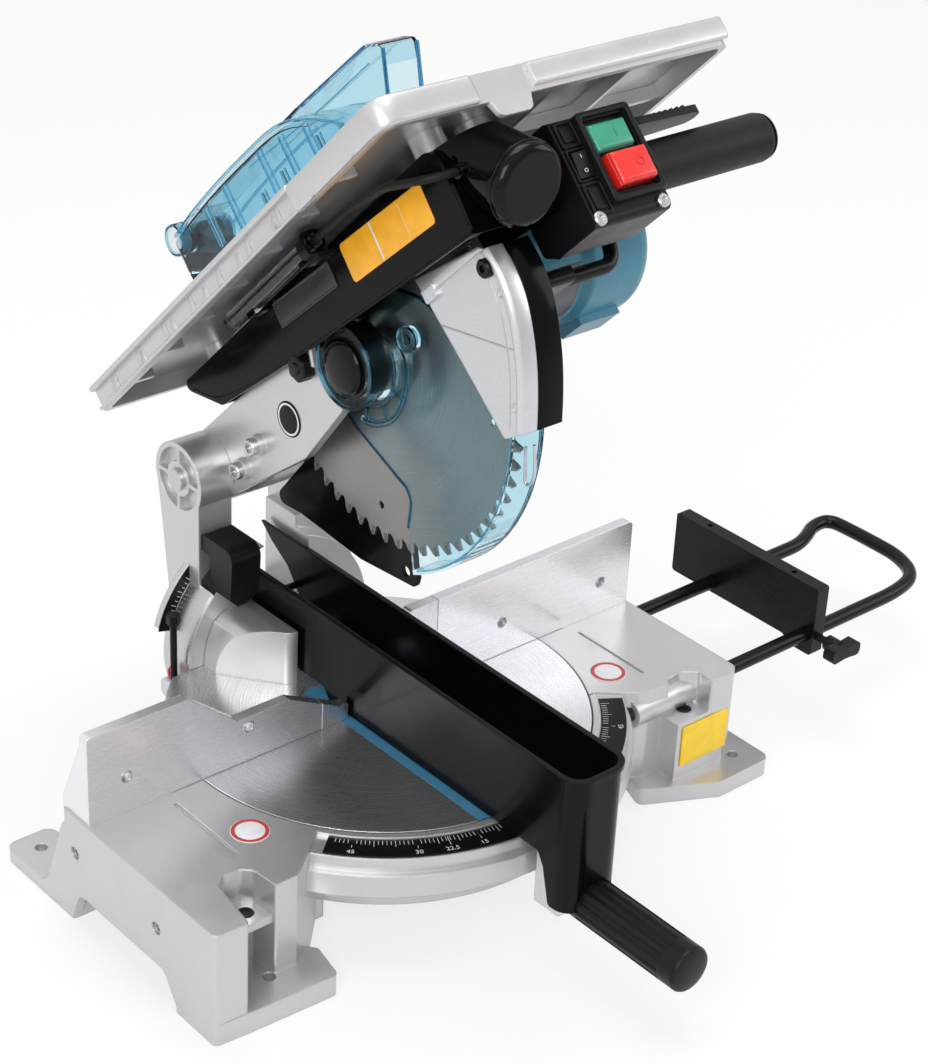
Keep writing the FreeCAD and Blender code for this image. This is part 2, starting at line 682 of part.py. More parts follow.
# Turntable
def turntable():
    bottom = -s.skirt_depth - 1 + s.running_gap
    radius = s.turntable_radius
    top = rod("Z", radius, -s.turntable_skin, 0.0, 0.0, 0.0)
    skirt = ring("Z", radius, radius - s.skirt_wall, bottom, -s.turntable_skin + 1, 0.0, 0.0)
    hub = rod("Z", s.boss_radius - 2, bottom, -s.turntable_skin + 1, 0.0, 0.0)
    ribs = [
        box(-s.skirt_wall / 2, s.skirt_wall / 2, -radius + 4, -24.0, -s.skirt_depth + 10, -8.0),
        box(-radius + 4, -24.0, -3.0, 3.0, -s.skirt_depth + 10, -8.0),
        box(24.0, radius - 4, -3.0, 3.0, -s.skirt_depth + 10, -8.0),
    ]
    rear_plan = [(-58, 84, 4), (-78, s.drum_front), (78, s.drum_front), (58, 84, 4)]
    rear_block = prism("Z", rear_plan, bottom, -s.turntable_skin + 1)
    lug_face = [(100, -8), (114, -8), (131, -8.5, 4), (131, -22, 4), (100, -22)]
    lug = prism("X", lug_face, -92.0, -s.drum_radius - 1.3)
    round_part = fuse(top, skirt, hub, *ribs, rear_block)
    neck_low = s.running_gap
    half = s.neck_half_width
    slope = [(-s.neck_front, neck_low), (-s.neck_front, s.neck_top), (-144, s.neck_top, 6), (-128, neck_low)]
    neck = fuse(
        prism("X", slope, -half, half),
        box(-half, half, -s.turntable_radius + 2, -128.0, -s.turntable_skin, 1.0),
        box(-half, half, -s.neck_front, s.neck_boss - s.neck_front, -s.handle_drop - 15, s.neck_top),
    )
    boss = s.tilt_boss
    start = s.tilt_boss_front
    cuts = [
        box(-s.kerf_half_width - 0.15, s.kerf_half_width + 0.15, -160.0, s.kerf_rear + 0.15, -s.kerf_depth, 1.0),
        box(-8.0, 8.0, -118.0, 30.0, -60.0, 1.0),
        box(-14.5, 14.5, 22.0, start, -20.0, 1.0),
        box(-boss, boss, start, 120.0, -boss, 1.0),
        box(-100.0, 100.0, s.drum_front - s.running_gap, 160.0, -90.0, 5.0),
    ]
    table = fuse(cut(round_part, *cuts), neck, lug, fence_tip(-1), fence_tip(1))
    holes = [
        rod("Z", STOP_BOLT_RADIUS, -23.0, 0.0, *STOP_BOLT),
        rod("Z", s.pivot_radius + s.shaft_gap, -60.0, 5.0, 0.0, 0.0),
        rod("Z", s.pivot_radius + 6.5, -s.skirt_depth + 16, 5.0, 0.0, 0.0),
        rod("Y", s.handle_rod_radius + s.shaft_gap, -s.neck_front - 1, -170.0, 0.0, -s.handle_drop),
    ]
    return cut(table, *holes)


def kerf_board():
    half = s.kerf_half_width
    notch = s.neck_half_width + 0.15
    plan = [
        (-half, s.kerf_rear, 3), (-half, -s.kerf_front + 4, 2), (-notch, -s.kerf_front + 2), (-notch, -127.8),
        (notch, -127.8), (notch, -s.kerf_front + 2), (half, -s.kerf_front + 4, 2), (half, s.kerf_rear, 3),
    ]
    slot = [
        (-s.kerf_slot, -112), (s.kerf_slot, -112), (s.kerf_slot, 21), (14.5, 28, 3), (14.5, 60),
        (-14.5, 60), (-14.5, 28, 3), (-s.kerf_slot, 21),
    ]
    return cut(prism("Z", plan, -s.kerf_depth, -0.1), prism("Z", slot, -5.0, 1.0))


def tilt_support():
    rear = s.drum_front - s.running_gap
    plan = [(-24, 56), (-34, 57, 10), (-78, rear), (78, rear), (34, 57, 10), (24, 56)]
    face = [(-79, 0), (-77, 20, 26), (-46, 42, 34), (46, 42, 34), (77, 20, 26), (79, 0)]
    hull = common(
        prism("Z", plan, 0.0, 60.0),
        prism("Y", face, 50.0, 120.0),
        rod("Y", s.cover_sweep - s.running_gap, 40.0, 120.0, 0.0, 0.0),
    )
    boss = s.tilt_boss
    start = s.tilt_boss_front
    sides = cut(hull, box(-s.trough_left - 3, s.trough_right + 3, 40.0, 120.0, -1.0, 70.0))
    block_low = box(-boss, boss, start, rear, -boss, 9.0)
    block_high = box(3 - s.trough_left, s.trough_right - 3, start, rear, 0.0, 13.0)
    cuts = [
        rod("Y", s.tilt_bolt_radius + s.shaft_gap, 82.0, 120.0, 0.0, 0.0),
        rod("Y", s.drum_radius + s.running_gap, rear, 150.0, 0.0, 0.0),
    ]
    return cut(fuse(sides, block_low, block_high), *cuts)


def hex_bolt(axis, radius, low, high, head, first, second):
    """A bolt with a hexagon head that ends at high."""
    shank = rod(axis, radius, low, high - head + 1, first, second)
    spots = []
    for n in range(6):
        angle = math.radians(60 * n + 30)
        spots.append((float(first) + radius * 2 * math.cos(angle), float(second) + radius * 2 * math.sin(angle), 0.4))
    return fuse(shank, prism(axis, spots, high - head, high))


def trough_cover():
    left = -s.trough_left
    right = s.trough_right
    wall = s.trough_wall
    outer = [(left, 240), (left, -s.trough_front, 14), (right, -s.trough_front, 14), (right, 240)]
    inner = [
        (left + wall, 250), (left + wall, wall - s.trough_front, 14 - wall),
        (right - wall, wall - s.trough_front, 14 - wall), (right - wall, 250),
    ]
    tube = cut(prism("Z", outer, -40.0, 80.0), prism("Z", inner, -41.0, 81.0))
    rim = s.trough_rim
    end = s.drum_front - s.running_gap
    outline = [
        (-230, -35), (-204, -35, 3), (-197, -8, 4), (-191.5, 1, 3), (24, 1, 3), (30, 9.5, 3),
        (106, 9.5), (end, 18), (end, rim), (-230, rim),
    ]
    body = common(tube, prism("X", outline, left - 5, right + 5))
    lip = [(left - 1.5, end), (left - 1.5, -s.trough_front - 1.5, 15), (right + 1.5, -s.trough_front - 1.5, 15),
           (right + 1.5, end)]
    edge = cut(prism("Z", lip, rim - 3.5, rim), prism("Z", inner, rim - 5, rim + 1))
    notch = fuse(
        rod("Y", s.handle_grip_radius + 1.5, -240.0, -190.0, 0.0, -s.handle_drop),
        box(-s.handle_grip_radius - 1.5, s.handle_grip_radius + 1.5, -240.0, -190.0, -60.0, -s.handle_drop),
    )
    return cut(fuse(body, edge), notch)


def trough_tail():
    """The rear end of the trough, between the ears."""
    start = s.drum_front
    rim = s.trough_rim
    wall = s.trough_wall
    left = [(start, 20), (131, 43, 3), (141, 60, 3), (143, rim), (start, rim)]
    right = [(start, 22), (131, 44, 3), (150, 56, 4), (163, rim), (start, rim)]
    return fuse(
        prism("X", left, -s.trough_left, wall - s.trough_left),
        prism("X", right, s.trough_right - wall, s.trough_right),
        box(-s.trough_left, s.trough_right, 121.0, 123.5, 29.5, 34.0),
    )


def turn_handle_grip():
    radius = s.handle_grip_radius
    front = -s.neck_front - 2
    back = front - s.handle_grip_length
    grip = rod("Y", radius, back, front, 0.0, -s.handle_drop)
    flutes = []
    for n in range(12):
        angle = math.radians(30 * n)
        x = (radius + 1.6) * math.cos(angle)
        z = (radius + 1.6) * math.sin(angle) - s.handle_drop
        flutes.append(rod("Y", 3.0, back + 12, front - 12, x, z))
    bore = rod("Y", s.handle_rod_radius, back + 40, front + 1, 0.0, -s.handle_drop)
    return cut(grip, bore, *flutes)


def turn_handle_rod():
    low = -s.neck_front - s.handle_grip_length + 38
    return rod("Y", s.handle_rod_radius, low, -s.band_step - 1.5, 0.0, -s.handle_drop)


finish("turntable", turntable(), TABLE)
finish("kerf_board", kerf_board(), TABLE)
finish("tilt_support", tilt_support(), TABLE)
finish("stop_bolt", hex_bolt("Z", STOP_BOLT_RADIUS, -21.0, 44.0, 7.0, *STOP_BOLT), TABLE)
finish("turn_handle_rod", turn_handle_rod(), TABLE)
finish("turn_handle_grip", turn_handle_grip(), TABLE)
finish("trough_cover", trough_cover(), TABLE)


# Bevel arm
def bevel_arm():
    front = s.arm_front
    drum = rod("Y", s.drum_radius, s.drum_front, s.drum_rear, 0.0, 0.0)
    flange = common(
        rod("Y", s.flange_radius, s.drum_rear - s.flange_thickness, s.drum_rear, 0.0, 0.0),
        box(-120.0, 120.0, 100.0, 180.0, 24.0, 120.0),
    )
    trunk_face = [(-60, 20), (-60, 90), (60, 90), (60, 20), (44, -50, 20), (-44, -50, 20)]
    trunk = prism("Y", trunk_face, front, s.arm_rear)
    ears = []
    lower = [(front, 30), (front, s.hinge_height), (s.hinge_back + s.ear_radius - 0.5, s.hinge_height),
             (s.hinge_back + 20, 88, 6), (s.arm_rear, 30)]
    for low, high in ((-s.ear_outer, -s.ear_inner), (s.ear_inner, s.ear_outer)):
        ears.append(rod("X", s.ear_radius, low, high, s.hinge_back, s.hinge_height))
        ears.append(prism("X", lower, low, high))
    body = fuse(drum, flange, trunk, *ears)
    side_low = -s.trough_left - 3
    cuts = [
        box(side_low, s.trough_right + 3, 100.0, 170.0, s.channel_floor, 95.0),
        box(-s.ear_inner, s.ear_inner, 100.0, 200.0, 84.0, 160.0),
        rod("X", s.hub_radius + 7, -s.ear_inner, s.ear_inner, s.hinge_back, s.hinge_height),
        rod("X", s.hinge_radius, -70.0, 70.0, s.hinge_back, s.hinge_height),
        rod("Y", s.tilt_bolt_radius, 100.0, 200.0, 0.0, 0.0),
    ]
    for sign in (-1, 1):
        face = sign * s.ear_outer
        low, high = (face - 1, face + 5) if sign < 0 else (face - 5, face + 1)
        recess = cut(
            rod("X", s.ear_radius - 4, low, high, s.hinge_back, s.hinge_height),
            rod("X", s.hinge_radius + 5, low - 1, high + 1, s.hinge_back, s.hinge_height),
            box(low - 1, high + 1, s.hinge_back - 40, s.hinge_back + 40, s.hinge_height - 1.5, s.hinge_height + 1.5),
            box(low - 1, high + 1, s.hinge_back - 1.5, s.hinge_back + 1.5, s.hinge_height - 40, s.hinge_height + 40),
        )
        cuts.append(recess)
    pin_y = s.hinge_back
    cuts.append(rod("X", 3.05, s.ear_inner - 1, s.ear_outer + 1, pin_y, s.hinge_height - 18))
    return cut(body, *cuts)


def spring_cover():
    """Box in front of the left ear; a groove behind it passes the stop bolt when the arm tilts."""
    low, high = 48, 97
    front, left, right = 92, -58, -33.5
    face = [(front + 3, low, 8), (front, high, 9), (s.arm_front, high, 3), (s.arm_front, low)]
    bolt_reach = math.hypot(STOP_BOLT[0] - 5.0, 44.0)
    groove = ring("Y", bolt_reach + 1, -STOP_BOLT[0] - 3.0, STOP_BOLT[1] - 5.3, s.arm_front + 1, 0.0, 0.0)
    corner = [(left - 1, low - 1), (left - 1, 1.5 - left), (0.5 - low, low), (0.5 - low, low - 1)]
    return cut(
        prism("X", face, left, right),
        box(left + 2.5, right - 2.5, 96.5, 116.5, 56.0, high - 2.5),
        rod("Y", s.cover_sweep + s.running_gap, 80.0, s.arm_front + 1, 0.0, 0.0),
        rod("Y", s.drum_radius, s.drum_front, s.arm_front + 1, 0.0, 0.0),
        prism("Y", corner, 80.0, s.drum_front),
        groove,
    )


def helix_point(angle):
    """Place and direction of the spring's helix, wound about X, at an angle from its start."""
    climb = SPRING_PITCH / (2 * math.pi)
    place = Vector(climb * angle, SPRING_RADIUS * math.cos(angle), SPRING_RADIUS * math.sin(angle))
    direction = Vector(climb, -SPRING_RADIUS * math.sin(angle), SPRING_RADIUS * math.cos(angle)).normalize()
    return place, direction


def arc_towards(start, end, corner):
    """Arc from start to end whose end tangents meet at the corner, as far from one as from the other."""
    middle = (start + end) / 2
    half_chord = (end - start).Length / 2
    rise = corner - middle
    sagitta = half_chord * math.tan(math.atan2(rise.Length, half_chord) / 2)
    return Part.Arc(start, middle + rise.normalize() * sagitta, end).toShape()


def biarc(start, end):
    """Two arcs that leave one helix point and reach the next along the helix's own directions."""
    (first, leave), (last, arrive) = start, end
    chord = last - first
    both = leave + arrive
    turn = 2 * (1 - leave.dot(arrive))
    reach = (math.sqrt(chord.dot(both) ** 2 + turn * chord.dot(chord)) - chord.dot(both)) / turn
    near = first + leave * reach
    far = last - arrive * reach
    joint = (near + far) / 2
    return [arc_towards(first, joint, near), arc_towards(joint, last, far)]


def head_spring():
    """Coil spring in its cover, one unbroken wire with its axis along X."""
    quarter = math.pi / 2
    spots = [helix_point(quarter * n) for n in range(4 * SPRING_TURNS + 1)]
    edges = []
    for start, end in zip(spots, spots[1:]):
        edges.extend(biarc(start, end))
    place, direction = spots[0]
    circle = Part.Wire([Part.Circle(place, direction, SPRING_WIRE).toShape()])
    coil = Part.Wire(edges).makePipeShell([circle], True, False)
    coil.translate(SPRING_START)
    print("head spring: least gap between turns", round(SPRING_PITCH - 2 * SPRING_WIRE, 2), "mm")
    return solid(coil)


SPRING_START = Vector(-53.0, 106.9, 81.4)
SPRING_PITCH = 3.2
SPRING_TURNS = 4
SPRING_RADIUS = 8.5
SPRING_WIRE = 1.1


def tilt_lock_lever():
    hub = ring("Y", 14.0, s.tilt_bolt_radius + s.shaft_gap, s.arm_rear + 1, s.arm_rear + 15, 0.0, 0.0)
    handle = [(-6, -9, 2), (6, -9, 2), (10, -72, 7), (-10, -72, 7)]
    turn = prism("Y", handle, s.arm_rear + 4, s.arm_rear + 13)
    turn.Placement = FreeCAD.Placement(Vector(), FreeCAD.Rotation(Vector(0, 1, 0), 28))
    bore = rod("Y", s.tilt_bolt_radius + s.shaft_gap, s.arm_rear, s.arm_rear + 16, 0.0, 0.0)
    return cut(fuse(hub, turn), bore)


def tilt_bolt():
    """Bolt on the axis of the bevel joint, its head ahead of the block that holds it."""
    start = s.tilt_boss_front
    shank = rod("Y", s.tilt_bolt_radius - s.shaft_gap, start - 4, s.arm_rear + 22, 0.0, 0.0)
    head = rod("Y", 12.0, start - 8, start - s.running_gap, 0.0, 0.0)
    nut = rod("Y", 12.0, s.arm_rear + 16, s.arm_rear + 22, 0.0, 0.0)
    return fuse(shank, head, nut)


finish("bevel_arm", bevel_arm(), TABLE)
finish("trough_tail", trough_tail(), TABLE)
finish("spring_cover", spring_cover(), TABLE)
finish("head_spring", head_spring(), TABLE)
finish("hinge_pin", rod("X", s.hinge_radius - s.shaft_gap, -s.ear_outer - 3, s.ear_outer + 3,
                        s.hinge_back, s.hinge_height), TABLE)
finish("tilt_bolt", tilt_bolt(), TABLE)
finish("tilt_lock_lever", tilt_lock_lever(), TABLE)
finish("head_stop_pin", fuse(
    rod("X", 3.0, s.ear_inner + 2, s.ear_outer + 14, s.hinge_back, s.hinge_height - 18),
    rod("X", 7.0, s.ear_outer + 9, s.ear_outer + 20, s.hinge_back, s.hinge_height - 18),
), TABLE)


# Head castings and covers
def head_arm():
    left = -s.plate_left
    plate_outline = [
        (-198, 38, 3), (-30, 38, 4), (-10, 30), (-22, -16, 6), (-86, -25, 4), (-148, -17, 3), (-188, -12, 3),
    ]
    plate = side(plate_outline, left, left + s.plate_thickness)
    hub = pin(s.hub_radius, running_ear(-1), running_ear(1), -s.blade_reach, s.blade_drop)
    bridge_outline = [(-200, 34, 3), (-140, 34, 3), (-140, 8, 3), (-175, 2, 3), (-205, 6, 3)]
    bridge = side(bridge_outline, left + 2, s.cover_right - 3)
    parts = [plate, hub, bridge]
    for ahead, up in ((-128.0, 3.0), (-158.0, -3.0)):
        parts.append(pin(7.5, left - 5, left + 4, ahead, up))
    body = fuse(*parts)
    cuts = [
        pin(s.hinge_radius + s.shaft_gap, -70.0, 70.0, -s.blade_reach, s.blade_drop),
        pin(s.guard_boss + 1, left - 1, left + 12, s.guard_forward, s.guard_up),
    ]
    for ahead, up in ((-128.0, 3.0), (-158.0, -3.0), (-181.0, -3.0)):
        cuts.append(pin(3.5, left - 6, left + 1, ahead, up))
    for x in (-14.0, 14.0):
        cuts.append(rod("Z", s.post_radius + 0.3, -5.0, 40.0, x, 150.0))
    lock = lock_hole_spots()
    for ahead, up in lock:
        cuts.append(pin(3.3, 20.0, 40.0, ahead, up))
    return cut(body, *cuts)


def running_ear(sign):
    """End of the hub beside an ear."""
    return sign * (s.ear_inner - s.running_gap)


def lock_hole_spots():
    """Holes of the hub that the stop pin meets, head up and head down."""
    spots = []
    for angle in (0.0, float(s.head_travel)):
        turn = math.radians(angle)
        spots.append((
            -float(s.blade_reach) - 18 * math.sin(turn),
            float(s.blade_drop) - 18 * math.cos(turn),
        ))
    return spots


def cover_outline(grow=0.0):
    top = s.cover_top + grow
    return [
        (-172 - grow, top, 4), (-167 - grow, 62, 6), (-138, 39 - grow), (-8, 26 - grow, 30),
        (183, 12.5 - grow), (184 + grow, 40), (184 + grow, top, 12),
    ]


def upper_case():
    wall = s.cover_wall
    outer = side(cover_outline(), -s.cover_left, s.cover_right)
    inner_outline = [
        (-169, s.cover_top - wall, 3), (-164, 62, 4), (-137, 41.7), (-8, 28.7, 30),
        (-8, 0), (180.6, 0), (181.5, 40), (181.5, s.cover_top - wall, 10),
    ]
    inner = side(inner_outline, wall - s.cover_left, s.cover_right - wall)
    bottom = side([(-136, 37), (-8, 20), (-8, 40), (-130, 50)], wall - s.cover_left, s.cover_right - wall)
    shell = cut(outer, inner, bottom)
    bushes = []
    for x, ahead in post_spots():
        bushes.append(rod("Z", s.post_radius + 4, 54.0, s.cover_top, x, -ahead))
    ledge = block(-30.0, 18.0, -168.0, -137.0, 54.0, s.cover_top)
    body = fuse(shell, *bushes, ledge)
    cuts = [
        block(-4.0, 4.0, -172.0, 134.0, s.cover_top - 20, s.cover_top + 1),
        side([(-166, 66), (-131, 66), (-131, 38), (-150, 38)], -4.0, 4.0),
        block(-s.guard_left - 1.2, s.guard_wall - s.guard_left + 1.2, -2.0, 88.0, s.cover_top - 6, s.cover_top + 1),
    ]
    for x, ahead in post_spots():
        cuts.append(rod("Z", s.post_radius + s.shaft_gap, 20.0, s.cover_top + 1, x, -ahead))
    motor = (s.motor_forward, s.motor_up)
    cuts.append(side(hull_outline(BLADE_SPOT, 40.2, motor, 44.2), s.gear_left - 0.2, s.cover_right + 1))
    cuts.append(pin(3.1, 20.0, 30.0, *LOCK_SPOT))
    return cut(body, *cuts)


LOCK_SPOT = (-70.0, 50.0)


def post_spots():
    """Guide posts of the upper table: X and forward."""
    return ((-24.0, 163.0), (12.0, 163.0), (-14.0, -150.0), (14.0, -150.0))


CASE_RIM = [(164, 8), (165.5, -8), (162.5, -27), (154.5, -46), (143, -65), (129.5, -82), (117.5, -95)]


def case_outline(inset=0.0):
    """Rim of the blade case as points that draw in by the inset."""
    shrunk = []
    for ahead, up in CASE_RIM:
        radius = math.hypot(ahead, up)
        scale = (radius - inset) / radius
        shrunk.append((ahead * scale, up * scale))
    return shrunk


def blade_case():
    wall = float(s.case_wall)
    left = -s.case_left
    seam = -s.case_seam
    plate = [(93, 13.5), (164, 8, 3)] + case_outline()[1:] + [(101, -91, 3), (97, -47, 5), (92, 2, 5)]
    lug = [(93, 13), (93, 4, 2), (106, 4, 2), (106, 13)]
    body = fuse(
        side(plate, left, left + s.case_wall),
        side(case_outline() + list(reversed(case_outline(wall))), left, seam),
        side(lug, left - 3, left + 1),
    )
    return cut(body, pin(2.2, left - 1, seam + 1, 150.0, -2.0))


def case_strip():
    wall = float(s.case_wall)
    low = -s.case_seam + 0.1
    rim = case_outline(2.0) + list(reversed(case_outline(2.0 + wall)))
    face = [(100, 10)] + case_outline(2.0) + [(108, -88), (100, -66, 4)]
    return fuse(side(rim, low, s.case_right), side(face, s.case_right - 2, s.case_right))


def rear_case():
    """Cover plate behind the lower right part of the blade."""
    outline = [
        (-134, -12, 4), (-206, -20, 6), (-182, -41, 6), (-138, -93, 10), (-93, -131, 5), (-86, -127, 3),
        (-66, -98), (-60, -60), (-48, -20, 10), (-60, 6, 6), (-134, 6),
    ]
    plate = side(outline, 8.6, 11.6)
    stay = block(8.6, 13.0, -150.0, -142.0, -14.0, 6.0)
    lugs = [block(8.6, 13.9, -64.0, -52.0, -6.0, 8.0), stay]
    return cut(fuse(plate, *lugs), pin(4.0, 8.0, 12.0, -95.0, -118.0))


# Drive
def idler_spot():
    """Idler axis: both stages in mesh, above the line from blade to motor."""
    ahead, up = float(s.motor_forward), float(s.motor_up)
    span = math.hypot(ahead, up)
    along = (SECOND_STAGE ** 2 - FIRST_STAGE ** 2 + span ** 2) / (2 * span)
    off = math.sqrt(SECOND_STAGE ** 2 - along ** 2)
    unit = (ahead / span, up / span)
    return (unit[0] * along - unit[1] * off, unit[1] * along + unit[0] * off)


FIRST_MODULE = 1.5
SECOND_MODULE = 1.75
MOTOR_TEETH = 10
IDLER_TEETH = 24
IDLER_PINION_TEETH = 14
SPINDLE_TEETH = 36
FIRST_STAGE = FIRST_MODULE * (MOTOR_TEETH + IDLER_TEETH) / 2
SECOND_STAGE = SECOND_MODULE * (IDLER_PINION_TEETH + SPINDLE_TEETH) / 2
FLANK_GAP = 0.16
TIP = 0.8
ROOT = 1.25


def gear_shape(module, teeth, low, high, ahead, up, turn):
    """A spur gear with involute flanks, its first tooth at the angle turn in (forward, up)."""
    pitch = module * teeth / 2
    base = pitch * math.cos(math.radians(20))
    tip = pitch + TIP * module
    root = pitch - ROOT * module
    half = math.pi / (2 * teeth) - FLANK_GAP / pitch
    inv_pitch = math.tan(math.radians(20)) - math.radians(20)
    points = []
    for tooth in range(teeth):
        middle = turn + 2 * math.pi * tooth / teeth
        flank = []
        for step in range(4):
            radius = max(base, root) + (tip - max(base, root)) * step / 3
            lean = math.acos(min(1.0, base / radius))
            flank.append((radius, half + inv_pitch - (math.tan(lean) - lean)))
        low_side = [(root, flank[0][1] + 0.01)] + flank
        for radius, angle in low_side:
            points.append((radius, middle - angle))
        for radius, angle in reversed(low_side):
            points.append((radius, middle + angle))
    loop = []
    for radius, angle in points:
        loop.append(Vector(float(low), -(float(ahead) + radius * math.cos(angle)),
                           float(up) + radius * math.sin(angle)))
    face = Part.Face(Part.makePolygon(loop + loop[:1]))
    return face.extrude(Vector(float(high) - float(low), 0, 0))


def gear(module, teeth, low, high, ahead, up, turn):
    return solid(gear_shape(module, teeth, low, high, ahead, up, turn), "Gear")


def facing(start, end):
    """Direction from one axis to another in (forward, up)."""
    return math.atan2(float(end[1]) - float(start[1]), float(end[0]) - float(start[0]))


BLADE_SPOT = (0.0, 0.0)


def spindle():
    idler = idler_spot()
    turn = facing(BLADE_SPOT, idler)
    wheel = gear(SECOND_MODULE, SPINDLE_TEETH, 20.0, 30.0, 0.0, 0.0, turn)
    shaft = fuse(
        pin(9.0, 0.5, 40.5, 0.0, 0.0),
        pin(s.arbor_radius - s.shaft_gap, -s.tooth_half - 0.3, s.blade_half, 0.0, 0.0),
    )
    drilled = cut(shaft, pin(4.0, -5.0, 20.0, 0.0, 0.0))
    return fuse(drilled, wheel)


def idler_shaft():
    idler = idler_spot()
    motor = (float(s.motor_forward), float(s.motor_up))
    pinion_turn = facing(idler, BLADE_SPOT) + math.pi / IDLER_PINION_TEETH
    wheel_turn = facing(idler, motor)
    return fuse(
        pin(5.0, 17.5, 40.5, *idler),
        gear(SECOND_MODULE, IDLER_PINION_TEETH, 20.0, 30.5, *idler, pinion_turn),
        gear(FIRST_MODULE, IDLER_TEETH, 32.0, 38.0, *idler, wheel_turn),
    )


def armature():
    idler = idler_spot()
    motor = (s.motor_forward, s.motor_up)
    turn = facing(motor, idler) + math.pi / MOTOR_TEETH
    core = hoop(24.0, 10.0, 70.0, 122.0, *motor)
    slots = []
    for n in range(12):
        angle = math.radians(30 * n)
        slots.append(pin(2.2, 69.0, 123.0, motor[0] + 22.5 * math.cos(angle), motor[1] + 22.5 * math.sin(angle)))
    return fuse(
        gear(FIRST_MODULE, MOTOR_TEETH, 31.5, 39.0, *motor, turn),
        pin(4.5, 38.0, 46.0, *motor),
        pin(s.shaft_radius, 45.7, 150.0, *motor),
        cut(core, *slots),
        pin(10.2, 70.0, 122.0, *motor),
        pin(14.0, 126.0, 140.0, *motor),
        *fan_blades(motor),
    )


def fan_blades(motor):
    """Hub, disc and blades of the cooling fan on the motor shaft."""
    blades = [hoop(12.0, s.shaft_radius - 0.5, 55.0, 65.0, *motor), hoop(37.0, 11.0, 63.5, 65.0, *motor)]
    for n in range(12):
        angle = math.radians(30 * n)
        blade = Part.makeBox(9.0, 26.0, 1.2, Vector(55.0, 11.0, -0.6))
        blade.rotate(Vector(), Vector(1, 0, 0), math.degrees(angle))
        blade.translate(Vector(0, -float(motor[0]), float(motor[1])))
        blades.append(solid(blade, "Blade"))
    return blades


def ball_bearing(inner, outer, low, high, ahead, up):
    """Inner ring, outer ring and balls with a thin web, as one piece."""
    mid = (float(inner) + float(outer)) / 2
    third = (float(outer) - float(inner)) / 3
    middle = (float(low) + float(high)) / 2
    web = hoop(mid + third / 2, mid - third / 2, middle - 1.0, middle + 1.0, ahead, up)
    return fuse(
        hoop(outer, outer - third, low, high, ahead, up),
        hoop(inner + third, inner, low, high, ahead, up),
        web,
    )


def hull_outline(first, first_radius, second, second_radius):
    """Two circles joined by their outer tangents, in (forward, up), as edges' points."""
    spots = []
    direction = facing(first, second)
    span = math.hypot(float(second[0]) - float(first[0]), float(second[1]) - float(first[1]))
    spread = math.acos((float(first_radius) - float(second_radius)) / span)
    for centre, radius, start, end in (
        (second, second_radius, direction - spread, direction + spread),
        (first, first_radius, direction + spread, direction - spread + 2 * math.pi),
    ):
        for step in range(25):
            angle = start + (end - start) * step / 24
            spots.append((float(centre[0]) + float(radius) * math.cos(angle),
                          float(centre[1]) + float(radius) * math.sin(angle)))
    return spots


def gear_case():
    motor = (s.motor_forward, s.motor_up)
    wall = s.gear_wall
    outer = side(hull_outline(BLADE_SPOT, 40.0, motor, 44.0), s.gear_left, s.gear_right)
    inner = side(hull_outline(BLADE_SPOT, 40 - wall, motor, 44 - wall), s.gear_left + wall, s.gear_right - wall)
    rear = -s.blade_reach - 1.6
    tail_outline = [(rear, 34, 3), (0, 38, 3), (0, -24, 8), (-60, -10, 8), (rear, 8, 4)]
    tail = side(tail_outline, 28.3, s.gear_right - 6)
    top = block(28.3, 40.0, 20.0, 120.0, 40.0, 62.0)
    idler = idler_spot()
    body = cut(fuse(outer, tail, top), inner)
    web = block(s.cover_right - 3, 29.0, rear + 2, -150.0, 12.0, 30.0)
    cuts = [
        pin(12.05, 0.0, 20.0, 0.0, 0.0),
        pin(14.05, 40.0, 42.6, 0.0, 0.0),
        pin(8.05, 12.0, 20.0, *idler),
        pin(9.05, 40.0, 42.6, *idler),
        pin(12.05, 40.0, 50.0, *motor),
        pin(s.hinge_radius + 20, 20.0, 60.0, -s.blade_reach, s.blade_drop),
        block(28.0, 41.0, 18.0, 122.0, 36.0, 40.0),
    ]
    return cut(fuse(body, web), *cuts)


def motor_housing():
    wall = s.motor_wall
    low = s.gear_right + 0.1
    neck = s.motor_neck
    big = s.motor_radius
    end = s.motor_end
    profile = [
        (low, 12.5), (low, neck, 2), (98, neck, 4), (104, big, 4), (end, big, 14), (end, 18),
        (end - wall, 18), (end - wall, big - wall, 11), (106, big - wall, 3), (100, neck - wall, 3),
        (low + wall, neck - wall), (low + wall, 12.5),
    ]
    shell = turned(profile, -s.motor_forward, s.motor_up)
    lip = block(104.0, 138.0, 42.0, 66.0, -31.0, -22.0)
    bore = pin(big - wall + 0.5, 50.0, end - 4, s.motor_forward, s.motor_up)
    back = pin(20.0, end - wall, end, s.motor_forward, s.motor_up)
    seat = hoop(16.0, 11.05, end - 13, end - wall + 0.5, s.motor_forward, s.motor_up)
    return fuse(shell, cut(lip, bore), back, seat)


def stator():
    motor = (s.motor_forward, s.motor_up)
    return fuse(
        hoop(42.9, 34.0, 66.0, 97.0, *motor),
        hoop(34.5, 24.6, 70.0, 122.0, *motor),
        hoop(36.0, 26.0, 97.0, 122.0, *motor),
    )


